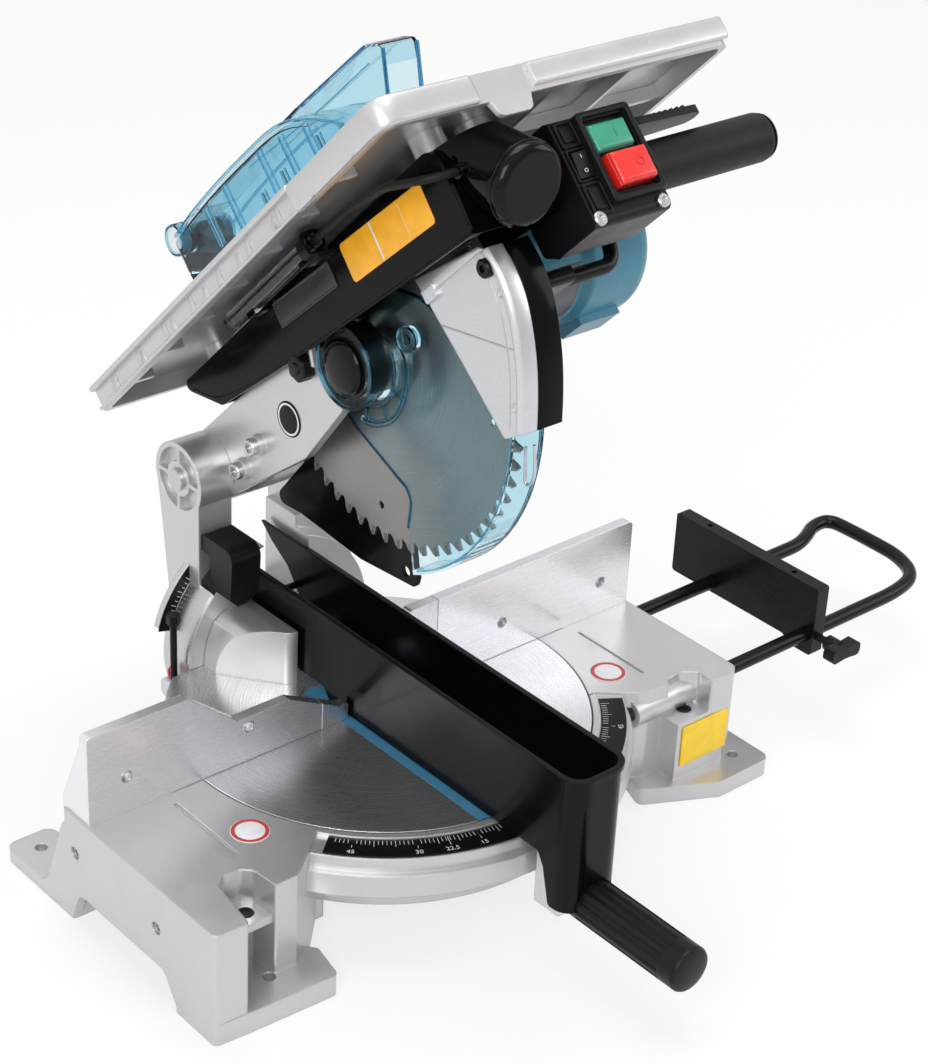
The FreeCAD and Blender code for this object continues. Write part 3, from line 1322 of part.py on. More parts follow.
def motor_bracket():
    rail = [(34.0, 0.0, 0.0), (98.0, 0.0, 0.0), (108.0, 0.0, 34.0)]
    points = [(x, -126.0 - y, -14.0 + z) for x, y, z in rail]
    bar = solid(tube_shape(points, 5.0, 12.0), "Bar")
    foot = side([(112, -20, 4), (142, -20, 4), (142, -9.8, 3), (112, -8, 2)], s.box_left, 52.0)
    stub = block(103.0, 113.0, 121.0, 148.3, 14.0, 24.0)
    tie = block(s.box_right - 6, 112.0, 139.0, 147.9, 10.0, 26.0)
    return fuse(bar, foot, stub, tie)


def brush_caps():
    caps = []
    for sign in (-1, 1):
        reach = -s.motor_forward + sign * (s.motor_radius - 4)
        low, high = (reach, reach + 6) if sign > 0 else (reach - 6, reach)
        caps.append(cut(
            rod("Y", 8.0, low, high, 134.0, s.motor_up),
            pin(s.motor_radius + 0.05, 100.0, 150.0, s.motor_forward, s.motor_up),
        ))
    return group(*caps)


# Blade and guard
def blade():
    """Disc with gullets between hooked teeth."""
    count = int(float(s.tooth_count))
    radius = float(s.blade_radius)
    step = 2 * math.pi / count
    spots = []
    for n in range(count):
        base = -n * step
        for share, depth in ((0.0, 0.0), (0.30, 1.6), (0.52, 6.5), (0.72, 8.5), (0.90, 7.2)):
            angle = base - share * step
            spots.append(((radius - depth) * math.cos(angle), (radius - depth) * math.sin(angle)))
    disc = side(spots, -s.blade_half, s.blade_half)
    holes = [pin(s.arbor_radius, -2.0, 2.0, 0.0, 0.0)]
    for n in range(4):
        angle = math.radians(45 + 90 * n)
        holes.append(pin(2.5, -2.0, 2.0, 104 * math.cos(angle), 104 * math.sin(angle)))
    return cut(disc, *holes)


def blade_bolt():
    return hex_bolt_left(5.0, -13.4, 3.0, 4.5)


def hex_bolt_left(radius, low, high, head):
    """A bolt along X whose hexagon head faces left."""
    spots = []
    for n in range(6):
        angle = math.radians(60 * n)
        spots.append((radius * 1.7 * math.cos(angle), radius * 1.7 * math.sin(angle), 0.4))
    return fuse(side(spots, low + 1.4, low + 1.4 + head), pin(3.9, low + head, high, 0.0, 0.0))


def lower_guard():
    wall = s.guard_wall
    outer = s.guard_outer
    left = -s.guard_left
    start, stop = math.radians(-112), math.radians(-31)

    def arc(radius, low=start, high=stop, steps=24):
        angles = [low + (high - low) * n / steps for n in range(steps + 1)]
        return [(float(s.guard_forward) + float(radius) * math.cos(angle),
                 float(s.guard_up) + float(radius) * math.sin(angle)) for angle in angles]

    face = arc(outer) + [(97, -47, 6), (92, 4, 14), (60, 32, 12), (20, 37, 12), (-26, 32, 12), (-41, 7, 14),
                         (-41, -19, 10), (-30, -46, 10), (-22, -66, 8), (-14, -84, 8), (-34, -100, 8)]
    rim = arc(outer) + list(reversed(arc(outer - 3)))
    right_face = arc(outer) + list(reversed(arc(104.0)))
    boss = hoop(s.guard_boss, s.guard_hub_radius, -s.guard_boss_left, left + 1, s.guard_forward, s.guard_up)
    lip = arc(outer + 1.2, stop - 0.03, stop, 1) + list(reversed(arc(outer - 2, stop - 0.04, stop, 1)))
    end_rib = side(lip, left, s.guard_right)
    body = fuse(
        side(face, left, left + wall),
        side(rim, left, s.guard_right),
        side(right_face, s.guard_right - wall, s.guard_right),
        boss,
        end_rib,
        pin(8.0, left - 5, left + 1, 58.0, -4.0),
    )
    return cut(body, pin(s.guard_hub_radius, -s.guard_boss_left - 1, left + 3, s.guard_forward, s.guard_up))


def guard_hub():
    spot = (s.guard_forward, s.guard_up)
    radius = s.guard_hub_radius - s.running_gap / 2
    plate_outline = [(24, 8, 10), (14, 30, 10), (-30, 24, 8), (-70, 14, 6), (-70, -12, 6), (-30, -10, 8), (10, -16, 8)]
    parts = [
        pin(radius, -s.guard_boss_left + 1, -14.6, *spot),
        side(plate_outline, -14.7, -13.9),
        pin(5.0, 0.1 - s.plate_left + s.plate_thickness, -14.2, -58.0, 2.0),
        pin(7.0, -s.guard_boss_left - 1, -s.guard_boss_left + 2, *spot),
    ]
    return cut(fuse(*parts), pin(4.0, -s.guard_boss_left - 2, -s.guard_boss_left + 3, *spot))


# Controls and handle
ROCKER_SIDES = (34.2, 45.8)
ROCKER_AXIS_DEPTH = 4.0
ROCKER_AXIS_UP = 29.0
ROCKER_AXLE = 1.4


def switch_box():
    outline = [
        (s.box_rear, -s.box_bottom + 6, 4), (s.box_rear + 12, -s.box_bottom, 6), (s.box_front, -s.box_bottom, 5),
        (s.box_front, s.box_top, 5), (s.box_rear + 8, s.box_top, 4), (s.box_rear, s.box_top - 12, 4),
    ]
    body = side(outline, s.box_left, s.box_right)
    frame = cut(
        block(49.0, 88.0, s.box_front - 1, s.box_front + 4, 3.0, 56.0),
        block(51.5, 85.5, s.box_front - 2, s.box_front + 6, 5.5, 53.5),
    )
    ears = [
        block(s.box_right - 1, s.box_right + 8, 158.0, 162.7, 44.0, 56.0),
        block(s.box_right - 1, s.box_right + 8, 191.3, 196.0, 44.0, 56.0),
    ]
    gap = s.running_gap
    deep = s.box_front - 14
    hollow = block(s.box_left + 3, s.box_right - 3, s.box_rear + 4, s.box_front - 16, 4 - s.box_bottom, s.box_top - 14)
    lever_y = s.grip_up + s.grip_radius + s.lever_gap + s.lever_thickness / 2
    cuts = [
        hollow,
        block(52.0 - gap, 82.0 + gap, deep, s.box_front + 6, 32.0 - gap, 50.0 + gap),
        block(54.0 - gap, 83.0 + gap, deep, s.box_front + 6, 8.0 - gap, 29.0 + gap),
        block(34.0 - gap, 46.0 + gap, s.box_front - 9, s.box_front + 2, 20.0 - gap, 38.0 + gap),
        rocker_axle(ROCKER_AXLE + s.shaft_gap, 1.9),
    ]
    body = cut(fuse(body, frame, *ears), *cuts)
    neck = side([(130, 20, 3), (150, 20), (150, 50), (130, 50, 3)], s.box_left, 56.0)
    core = pin(s.grip_core, s.box_right - 1, s.grip_end - 4, s.grip_forward, s.grip_up)
    hinge = rod("Y", 1.98, -196.0, -158.0, s.box_right + 5, lever_y)
    return fuse(body, core, hinge, cut(neck, pin(s.motor_neck + 2, 40.0, 120.0, s.motor_forward, s.motor_up)))


def button(x_low, x_high, u_low, u_high, proud):
    front = s.box_front + proud
    back = s.box_front - 13 + s.button_travel + 0.3
    face = [(x_low, -front, 1.5), (x_high, -front, 1.5), (x_high, -back), (x_low, -back)]
    flange = block(x_low, x_high, back, back + 2, u_low, u_high)
    return fuse(prism("Z", face, u_low, u_high), flange)


def rocker_axle(radius, reach):
    """A pin along the light rocker's axis that reaches past both of its sides."""
    return pin(radius, ROCKER_SIDES[0] - reach, ROCKER_SIDES[1] + reach, s.box_front - ROCKER_AXIS_DEPTH, ROCKER_AXIS_UP)


def light_rocker():
    top = s.box_front + 2.5
    outline = [(top - 1.5, 20.6), (top + 1.0, 37.4, 1), (s.box_front - 4, 35.5, 1), (s.box_front - 4, 22.5, 1)]
    return fuse(side(outline, *ROCKER_SIDES), rocker_axle(ROCKER_AXLE, 1.6))


def front_grip():
    start = s.box_right + 9
    end = s.grip_end
    radius = s.grip_radius
    profile = [
        (start, s.grip_core), (start, radius + 2, 2), (start + 6, radius + 2, 2), (start + 9, radius, 1),
        (end, radius, 6), (end, 0), (end - 4, 0), (end - 4, s.grip_core),
    ]
    return turned(profile, -s.grip_forward, s.grip_up)


def release_lever():
    low = s.grip_up + s.grip_radius + s.lever_gap
    high = low + s.lever_thickness
    start = s.box_right + s.running_gap + 1
    plan = [(start, -163.0), (start, -191.0), (start + 16, -191.0, 3), (166, -186, 8), (170, -170, 8),
            (start + 16, -163.0, 3)]
    ribs = []
    for n in range(9):
        x = 112.0 + 5 * n
        ribs.append(box(x, x + 2, -186.0, -168.0, high - 0.5, high + 1.5))
    body = fuse(prism("Z", plan, low, high), *ribs)
    return cut(body, rod("Y", 2.0 + s.shaft_gap, -200.0, -150.0, s.box_right + 5, low + s.lever_thickness / 2))


def slanted(radius, start, end, x):
    """A cylinder in the head's side plane between two (forward, up) points."""
    first = Vector(float(x), -start[0], start[1])
    last = Vector(float(x), -end[0], end[1])
    along = last - first
    return solid(Part.makeCylinder(float(radius), along.Length, first, along), "Slant")


LAMP_BACK = (168.0, 65.0)
LAMP_FRONT = (205.0, 28.0)
LAMP_TIP = (211.0, 22.0)


def lamp_housing():
    x = -s.lamp_side
    outer = slanted(s.lamp_radius, LAMP_BACK, LAMP_FRONT, x)
    room = block(-60.0, 60.0, 100.0, 240.0, s.cover_top + 0.0, 140.0)
    case = side(cover_outline(s.shaft_gap), -60.0, 60.0)
    stalk = block(x + s.lamp_radius - 8, s.box_left, 186.0, 196.0, 30.0, 46.0)
    gland = pin(4.5, -39.0, -26.0, 193.0, 48.0)
    body = cut(fuse(outer, stalk, gland), case, room)
    inner = slanted(s.lamp_radius - 3, (190.0, 43.0), (206.0, 27.0), x)
    window = block(x - 12, x + 8, 180.0, 196.0, 0.0, 33.0)
    return cut(body, inner, window)


def lamp_cap():
    """Domed end of the lamp housing."""
    x = -float(s.lamp_side)
    radius = float(s.lamp_radius)
    direction = Vector(0, -(LAMP_TIP[0] - LAMP_FRONT[0]), LAMP_TIP[1] - LAMP_FRONT[1]).normalize()
    start = Vector(x, -LAMP_FRONT[0], LAMP_FRONT[1])
    depth = 9.0
    body = Part.makeCylinder(radius, depth, start, direction)
    edges = [edge for edge in body.Edges if abs(edge.CenterOfMass.distanceToPoint(start) - depth) < 0.5]
    return solid(body.makeFillet(6.0, edges), "Cap")


def lamp_lead():
    points = [(-52.0, -64.0, 73.0), (-52.0, -104.0, 72.0), (-57.0, -150.0, 64.0), (-60.0, -193.0, 48.0),
              (-39.0, -193.0, 48.0)]
    return solid(tube_shape(points, 2.6, 14.0), "Lead")


def lead_sleeve():
    tube = fuse(
        rod("Y", 6.5, -58.0, 64.0, -52.0, 73.0),
        block(-56.0, -s.cover_left, -40.0, -30.0, 64.0, 69.0),
        block(-56.0, -s.cover_left, 36.0, 46.0, 64.0, 69.0),
    )
    return cut(tube, rod("Y", 5.0, -60.0, 60.0, -52.0, 73.0))


def cord_inlet():
    """Gland where a mains lead enters the motor's rear."""
    base = s.motor_forward - s.motor_radius + 2
    cone = doc.addObject("Part::Cone", name_of("Cone"))
    bind(cone, "Radius1", 9.0)
    bind(cone, "Radius2", 6.0)
    bind(cone, "Height", 30.0)
    cone.Placement = FreeCAD.Placement(
        Vector(113.0, -float(base), float(s.motor_up)), FreeCAD.Rotation(Vector(1, 0, 0), -90)
    )
    body = cut(cone, pin(s.motor_radius + 0.05, 100.0, 150.0, s.motor_forward, s.motor_up))
    return cut(body, rod("Y", 3.6, -60.0, 60.0, 113.0, s.motor_up))


# Upper table and its guard
def upper_table():
    high = s.top_surface
    under = high - s.top_skin
    low = high - s.top_rim
    left, right = -s.top_left, s.top_right
    front, back = -s.top_front, s.top_rear
    plan = [(left, back, 6), (left, front, 12), (right, front, 12), (right, back, 6)]
    inside = [(left + 5, back - 5, 4), (left + 5, front + 5, 8), (right - 5, front + 5, 8), (right - 5, back - 5, 4)]
    shell = cut(prism("Z", plan, low, high), prism("Z", inside, low - 1, under))
    ribs = []
    for ahead in (-150.0, -100.0, -50.0, 0.0, 50.0, 100.0, 150.0):
        ribs.append(block(s.cover_right + 6, right - 4, ahead - 2, ahead + 2, low + 3, under + 1))
        ribs.append(block(left + 4, -72.0, ahead - 2, ahead + 2, low + 3, under + 1))
    for x in (s.cover_right + 8, 100.0):
        ribs.append(block(x, x + 4, -back + 4, -front - 4, low + 3, under + 1))
    for x, ahead in post_spots():
        ribs.append(rod("Z", s.post_radius + 4, s.cover_top + 1, under + 1, x, -ahead))
    tab = [(-22, low + 1), (-18, 62, 5), (6, 62, 5), (10, low + 1)]
    ribs.append(prism("Y", tab, front, front + 4))
    gussets = []
    for n in range(8):
        y = front + 34 + 50 * n
        wedge = [(left - 3.2, low + 0.5), (left + 1, low + 0.5), (left + 1, high - 3)]
        gussets.append(prism("Y", wedge, y - 1.6, y + 1.6))
    room = pin(s.motor_radius + 1.5, 40.0, 170.0, s.motor_forward, s.motor_up)
    body = cut(fuse(shell, *ribs, *gussets), room)
    slot = [(-4, 124, 3), (-4, -130, 3), (4, -130, 3), (4, 124, 3)]
    knife = block(-4.0, 4.0, -176.0, -110.0, 60.0, high + 1)
    hinge_room = block(-8.6, 8.6, -158.0, -97.0, 60.0, high + 1)
    return cut(body, prism("Z", slot, 60.0, high + 1), knife, hinge_room)


def table_posts():
    posts = []
    lengths = {163.0: 18.0, -150.0: 12.0}
    for x, ahead in post_spots():
        posts.append(rod("Z", s.post_radius, lengths[ahead], s.cover_top + 1, x, -ahead))
    return group(*posts)


def table_lock_knob():
    spot = LOCK_SPOT
    screw = pin(3.0, 26.0, 40.0, *spot)
    knob = pin(14.0, 38.5, 52.0, *spot)
    flutes = []
    for n in range(8):
        angle = math.radians(45 * n)
        flutes.append(pin(3.2, 37.0, 54.0, spot[0] + 15.5 * math.cos(angle), spot[1] + 15.5 * math.sin(angle)))
    return fuse(screw, cut(knob, *flutes))


def riving_knife():
    outline = [
        (-137, 34), (-160, 34), (-166, 62, 4), (-168, 100, 10), (-154, 142, 6), (-108, 142, 4), (-96, 124, 8),
        (-118, 92, 20), (-134, 62, 20),
    ]
    return side(outline, -1.1, 1.1)


GUARD_HINGE = (-132.0, 158.0)
HINGE_BARREL = 11.0
HINGE_PIN = 9.0


def guard_bracket():
    """Black block on the riving knife that carries the hinge of the upper guard."""
    outline = [(-153, 122, 3), (-155, 146, 5), (-141, 158, 4), (-122, 158, 4), (-106, 143, 5), (-100, 130, 5), (-118, 124, 4)]
    body = side(outline, -8.0, 8.0)
    hollow = side([(-180, 80), (-180, 142), (-90, 142), (-90, 80)], -1.1, 1.1)
    head = pin(HINGE_BARREL - 1, -8.5, 8.5, *GUARD_HINGE)
    axle = pin(HINGE_PIN - s.shaft_gap, -13.5, 13.5, *GUARD_HINGE)
    return fuse(cut(body, hollow), head, axle)


def upper_guard():
    outline = [
        (151, 150, 4), (138, 158, 14), (46, 163, 60), (-95, 165, 12), (-132, 168), (-142, 158, 4), (-132, 148),
        (-100, 130, 8), (-70, 128, 12), (-20, 93, 6), (118, 93, 6), (134, 124, 20),
    ]
    inner = [
        (149, 150, 3), (137, 155.8, 12), (46, 160.8, 58), (-94, 162.8, 10), (-150, 166), (-150, 120),
        (-106, 60), (-70, 60), (-20, 60), (118, 60), (136, 122, 20),
    ]
    walls = cut(side(outline, -14.0, 14.0), side(inner, -12.2, 12.2))
    barrels = [pin(HINGE_BARREL, -14.0, -9.0, *GUARD_HINGE), pin(HINGE_BARREL, 9.0, 14.0, *GUARD_HINGE)]
    body = fuse(cut(walls, pin(HINGE_BARREL + 0.5, -8.9, 8.9, *GUARD_HINGE)), *barrels)
    return cut(body, pin(HINGE_PIN, -15.0, 15.0, *GUARD_HINGE))


MOTOR_SPOT = (s.motor_forward, s.motor_up)
finish("head_arm", head_arm(), HEAD)
finish("upper_case", upper_case(), HEAD)
finish("blade_case", blade_case(), HEAD)
finish("case_strip", case_strip(), HEAD)
finish("rear_case", rear_case(), HEAD)
finish("gear_case", gear_case(), HEAD)
finish("motor_housing", motor_housing(), HEAD)
finish("stator", stator(), HEAD)
finish("armature", armature(), HEAD)
finish("bearings", group(
    ball_bearing(4.55, 12.0, 41.1, 45.5, *MOTOR_SPOT),
    ball_bearing(s.shaft_radius + 0.05, 11.0, 146.0, 150.0, *MOTOR_SPOT),
    ball_bearing(5.05, 8.0, 15.5, 18.5, *idler_spot()),
    ball_bearing(5.05, 9.0, 40.05, 42.5, *idler_spot()),
    ball_bearing(9.05, 12.0, 14.2, 19.0, 0.0, 0.0),
    ball_bearing(9.05, 14.0, 40.05, 42.5, 0.0, 0.0),
), HEAD)
finish("motor_bracket", motor_bracket(), HEAD)
finish("brush_caps", brush_caps(), HEAD)
finish("idler_shaft", idler_shaft(), HEAD)
finish("spindle", spindle(), HEAD)
finish("blade", blade(), HEAD)
finish("blade_flanges", group(
    hoop(s.flange_disc_radius, 9.05, s.blade_half + 0.05, 4.0, 0.0, 0.0),
    hoop(s.flange_disc_radius, 3.95, -7.5, -s.tooth_half - 0.35, 0.0, 0.0),
), HEAD)
finish("blade_bolt", blade_bolt(), HEAD)
finish("lower_guard", lower_guard(), HEAD)
finish("guard_hub", guard_hub(), HEAD)
finish("switch_box", switch_box(), HEAD)
finish("start_button", button(52.0, 82.0, 32.0, 50.0, 4.0), HEAD)
finish("stop_button", button(54.0, 83.0, 8.0, 29.0, 9.0), HEAD)
finish("light_rocker", light_rocker(), HEAD)
finish("front_grip", front_grip(), HEAD)
finish("release_lever", release_lever(), HEAD)
finish("lamp_housing", lamp_housing(), HEAD)
finish("lamp_cap", lamp_cap(), HEAD)
finish("lamp_lead", lamp_lead(), HEAD)
finish("lead_sleeve", lead_sleeve(), HEAD)
finish("cord_inlet", cord_inlet(), HEAD)
finish("upper_table", upper_table(), HEAD)
finish("table_posts", table_posts(), HEAD)
finish("table_lock_knob", table_lock_knob(), HEAD)
finish("riving_knife", riving_knife(), HEAD)
finish("guard_bracket", guard_bracket(), HEAD)
finish("upper_guard", upper_guard(), HEAD)


# Extension
def rod_loop():
    drop = -float(s.rod_drop)
    rear, front = float(s.rod_rear), -float(s.rod_front)
    reach, inner = float(s.rod_reach), float(s.rod_inner)
    points = [(inner, rear), (438, rear), (466, rear + 10), (reach, rear + 8), (reach + 1, front * 0.55),
              (reach - 16, front * 0.93), (430, front), (inner, front)]
    return solid(tube_shape([(x, y, drop) for x, y in points], s.rod_radius, 14.0), "Loop")


def stop_plate():
    far = s.stop_near + s.stop_thickness
    outline = [(46, 24, 2), (-102, 24, 2), (-102, -33, 3), (-84, -33, 3), (-72, -27, 5), (46, -27, 3)]
    plate = prism("X", outline, s.stop_near, far)
    middle = s.stop_near + s.stop_thickness / 2
    holes = []
    for y in (s.rod_rear, -s.rod_front):
        holes.append(rod("X", s.rod_radius + s.shaft_gap, s.stop_near - 1, far + 1, y, -s.rod_drop))
    for y in (16.0, -72.0):
        holes.append(rod("Z", 2.2, 12.0, 30.0, middle, y))
    holes.append(rod("Y", 3.05, -110.0, -s.rod_front, middle, -s.rod_drop))
    return cut(plate, *holes)


def wing_screw():
    middle = s.stop_near + s.stop_thickness / 2
    z = -s.rod_drop
    shank = rod("Y", 3.0, -122.0, -s.rod_front - s.rod_radius - 0.3, middle, z)
    collar = rod("Y", 6.0, -124.0, -112.0, middle, z)
    wings = [(-15, -6, 4), (-15, 6, 4), (0, 4.5), (15, 6, 4), (15, -6, 4), (0, -4.5)]
    spots = [(float(middle) + p[0], float(z) + p[1]) + p[2:] for p in wings]
    return fuse(shank, collar, prism("Y", spots, -131.0, -121.0))


finish("rod_loop", rod_loop(), TABLE)
finish("stop_plate", stop_plate(), TABLE)
finish("wing_screw", wing_screw(), TABLE)


# Check and write
doc.recompute()
failed = []
for item in doc.Objects:
    if "Invalid" in item.State or "Error" in item.State:
        failed.append(f"{item.Name} ({item.Label}) {item.State}")
if failed:
    raise RuntimeError("failed: " + "; ".join(failed))
for node in nodes:
    if node.Shape.isNull() or not node.Shape.isValid():
        raise RuntimeError(f"{node.Label} has no valid shape")
os.makedirs("parts", exist_ok=True)
for node in nodes:
    node.Shape.exportStep(f"parts/{node.Label}.step")
    print(f"{node.Label}: {len(node.Shape.Solids)} solids, {node.Shape.Volume / 1000:.1f} cm3")
print(len(nodes), "pieces")
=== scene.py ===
# %% [markdown]
# The table mitre saw, dressed for its picture. The machine's pieces come ready made, at their real
# size and place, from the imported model. This lesson gives each of them its finish, adds the small
# trim that shows on a real saw, and sets up a floor, lamps and a camera. All lengths are in metres,
# +X is to the operator's right, +Y is away from the operator and +Z is up.

# %% Load the machine
import json
import math
import bpy
import numpy as np
from mathutils import Matrix, Vector


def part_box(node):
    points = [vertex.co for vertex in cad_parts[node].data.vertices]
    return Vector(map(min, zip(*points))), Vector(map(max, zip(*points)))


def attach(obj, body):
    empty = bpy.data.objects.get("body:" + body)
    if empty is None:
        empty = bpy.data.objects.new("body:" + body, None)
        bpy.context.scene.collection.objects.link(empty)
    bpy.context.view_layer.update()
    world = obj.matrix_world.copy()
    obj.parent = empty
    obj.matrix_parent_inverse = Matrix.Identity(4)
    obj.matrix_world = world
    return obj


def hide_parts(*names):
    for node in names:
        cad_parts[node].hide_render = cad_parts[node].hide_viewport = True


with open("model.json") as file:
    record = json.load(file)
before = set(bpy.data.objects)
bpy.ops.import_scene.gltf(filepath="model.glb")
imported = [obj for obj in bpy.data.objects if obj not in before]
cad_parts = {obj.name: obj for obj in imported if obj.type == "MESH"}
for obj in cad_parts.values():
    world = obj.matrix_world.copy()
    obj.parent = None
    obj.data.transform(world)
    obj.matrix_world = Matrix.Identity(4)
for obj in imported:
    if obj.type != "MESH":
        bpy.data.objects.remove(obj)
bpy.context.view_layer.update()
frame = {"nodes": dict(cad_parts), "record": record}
nodes = frame["nodes"]
print("pieces of the machine:", len(nodes))

# %% [markdown]
# A photograph is a point of view, a direction and an opening angle. The camera stands in front of
# the machine and a little to its left, well above the table, and leans slightly to one side, as a
# hand-held camera does. The place below was worked out once from points of the base whose sizes are
# known, so it is given as angles round the table, a distance and a small sideways step.

# %% Camera
MM = 0.001
TABLE_TOP = 85 * MM
VIEW_TURN = math.radians(-42.003)
VIEW_RISE = math.radians(29.176)
VIEW_LEAN = math.radians(2.966)
VIEW_DISTANCE = 1705.755 * MM
VIEW_STEP = (58.697 * MM, 119.916 * MM)
PICTURE_HEIGHT = 1064
FOCAL_PIXELS = 2466.94
SENSOR = 36.0
NEAREST = 0.05


def camera_axes():
    """Right, up and back: back points from the table to the camera, and the other two are leant round it."""
    back = Vector((
        math.sin(VIEW_TURN) * math.cos(VIEW_RISE),
        -math.cos(VIEW_TURN) * math.cos(VIEW_RISE),
        math.sin(VIEW_RISE),
    ))
    level = Vector((math.cos(VIEW_TURN), math.sin(VIEW_TURN), 0.0))
    upright = back.cross(level)
    right = math.cos(VIEW_LEAN) * level + math.sin(VIEW_LEAN) * upright
    up = -math.sin(VIEW_LEAN) * level + math.cos(VIEW_LEAN) * upright
    return right, up, back


right, up, back = camera_axes()
eye = back * VIEW_DISTANCE + right * VIEW_STEP[0] + up * VIEW_STEP[1] + Vector((0.0, 0.0, TABLE_TOP))
lens = bpy.data.cameras.new("camera")
lens.sensor_width = SENSOR
lens.lens = FOCAL_PIXELS * SENSOR / PICTURE_HEIGHT
lens.clip_start = NEAREST
camera = bpy.data.objects.new("camera", lens)
camera.matrix_world = Matrix.Translation(eye) @ Matrix((right, up, back)).transposed().to_4x4()
bpy.context.scene.collection.objects.link(camera)
bpy.context.scene.camera = camera
print("camera at", [round(v, 3) for v in eye], "lens", round(lens.lens, 2), "mm")

# %% [markdown]
# A finish is made of nodes: one shader that says how the surface sends light back, and patterns that
# change its colour, its roughness and its tiny bumps from place to place. Every pattern here is read
# from Object coordinates, so it sits still on the piece and has a real size in metres. The helper
# below starts a finish, and three more add the patterns that nearly every finish needs.

# %% Starting a finish


def srgb(*levels):
    """A colour written as 0 to 255 levels on a screen, as the linear colour that a shader takes."""
    shares = [level / 255 for level in levels]
    return tuple(v / 12.92 if v <= 0.04045 else ((v + 0.055) / 1.055) ** 2.4 for v in shares)


EDGE_ROUNDING = 0.9 * MM
NOISE_ENDS = (0.3, 0.7)


class Finish:
    """A material with one Principled shader, and the pattern coordinates that its helpers read."""

    def __init__(self, name, colour, roughness, metallic=0.0, rounding=EDGE_ROUNDING, **sockets):
        self.material = bpy.data.materials.new(name)
        self.material.use_nodes = True
        self.tree = self.material.node_tree
        self.shader = self.tree.nodes["Principled BSDF"]
        self.colour = colour
        self.roughness = roughness
        self.shader.inputs["Base Color"].default_value = (*colour, 1.0)
        self.shader.inputs["Roughness"].default_value = roughness
        self.shader.inputs["Metallic"].default_value = metallic
        for socket, value in sockets.items():
            self.shader.inputs[socket.replace("_", " ")].default_value = value
        self.material.diffuse_color = (*colour, 1.0)
        self.place = self.node("ShaderNodeTexCoord").outputs["Object"]
        self.normal = None
        if rounding:
            edge = self.node("ShaderNodeBevel", samples=4, Radius=rounding)
            self.normal = edge.outputs["Normal"]
            self.join(self.normal, self.shader.inputs["Normal"])

    def node(self, kind, **settings):
        """A new node, with its own settings and its plain sockets set by name."""
        made = self.tree.nodes.new(kind)
        for name, value in settings.items():
            if hasattr(made, name):
                setattr(made, name, value)
            else:
                made.inputs[name.replace("_", " ")].default_value = value
        return made

    def join(self, start, end):
        """One socket's value carried to another."""
        self.tree.links.new(start, end)

    def stretched(self, stretch=(1, 1, 1), turn=(0, 0, 0), centre=(0, 0, 0)):
        """Pattern coordinates moved to a centre, turned and stretched."""
        moved = self.node("ShaderNodeMapping", vector_type="TEXTURE")
        moved.inputs["Location"].default_value = centre
        moved.inputs["Rotation"].default_value = turn
        moved.inputs["Scale"].default_value = stretch
        self.join(self.place, moved.inputs["Vector"])
        return moved.outputs["Vector"]

    def noise(self, size, detail=3.0, place=None):
        """Soft random values whose blotches are about size metres across."""
        made = self.node("ShaderNodeTexNoise", Scale=1 / size, Detail=detail)
        self.join(place or self.place, made.inputs["Vector"])
        return made.outputs["Fac"]

    def mapped(self, value, low, high):
        """value between the two ends that noise mostly keeps to, carried over to between low and high."""
        made = self.node("ShaderNodeMapRange")
        for socket, number in zip(("From Min", "From Max", "To Min", "To Max"), (*NOISE_ENDS, low, high)):
            made.inputs[socket].default_value = number
        self.join(value, made.inputs["Value"])
        return made.outputs["Result"]

    def tint(self, value, dark, light):
        """Base colour that goes from dark to light as value goes from one noise end to the other."""
        ramp = self.node("ShaderNodeValToRGB")
        for element, end, colour in zip(ramp.color_ramp.elements, NOISE_ENDS, (dark, light)):
            element.position = end
            element.color = (*colour, 1.0)
        self.join(value, ramp.inputs["Fac"])
        self.join(ramp.outputs["Color"], self.shader.inputs["Base Color"])

    def shaded(self, value, spread):
        """Base colour that varies by spread either side of the finish's own."""
        dark = tuple(c * (1 - spread) for c in self.colour)
        light = tuple(min(1.0, c * (1 + spread)) for c in self.colour)
        self.tint(value, dark, light)

    def scuffed(self, value, spread):
        """Roughness that varies by spread either side of the finish's own."""
        rough = self.mapped(value, self.roughness - spread, self.roughness + spread)
        self.join(rough, self.shader.inputs["Roughness"])

    def bumped(self, value, depth, strength=1.0):
        """Tiny bumps, depth metres from low to high, added to any that are there."""
        made = self.node("ShaderNodeBump", Strength=strength, Distance=depth)
        self.join(value, made.inputs["Height"])
        if self.normal is not None:
            self.join(self.normal, made.inputs["Normal"])
        self.normal = made.outputs["Normal"]
        self.join(self.normal, self.shader.inputs["Normal"])


finishes = {}
print("edges look rounded by", round(EDGE_ROUNDING * 1000, 2), "mm")

# %% [markdown]
# Most of the castings, such as the base, the arm and the upper table, are die-cast aluminium sprayed
# with silver paint. Such paint holds metal flakes, so it is partly metallic, it has a faint orange
# peel, and a cast skin shows under it as a slow unevenness. Flakes are a fine noise in the colour,
# and two noises of different sizes make the bumps. The Bevel node in every finish rounds the light
# on the edges, because a sprayed or moulded edge is never sharp.

# %% Silver paint on cast metal
CASTING_ROUNDING = 1.6 * MM
FLAKES = 0.72
FLAKE_SIZE, HANDLING_SIZE, WAVE_SIZE, PEEL_SIZE = 0.0006, 0.03, 0.006, 0.0007
WAVE_DEPTH, PEEL_DEPTH = 0.00004, 0.000015


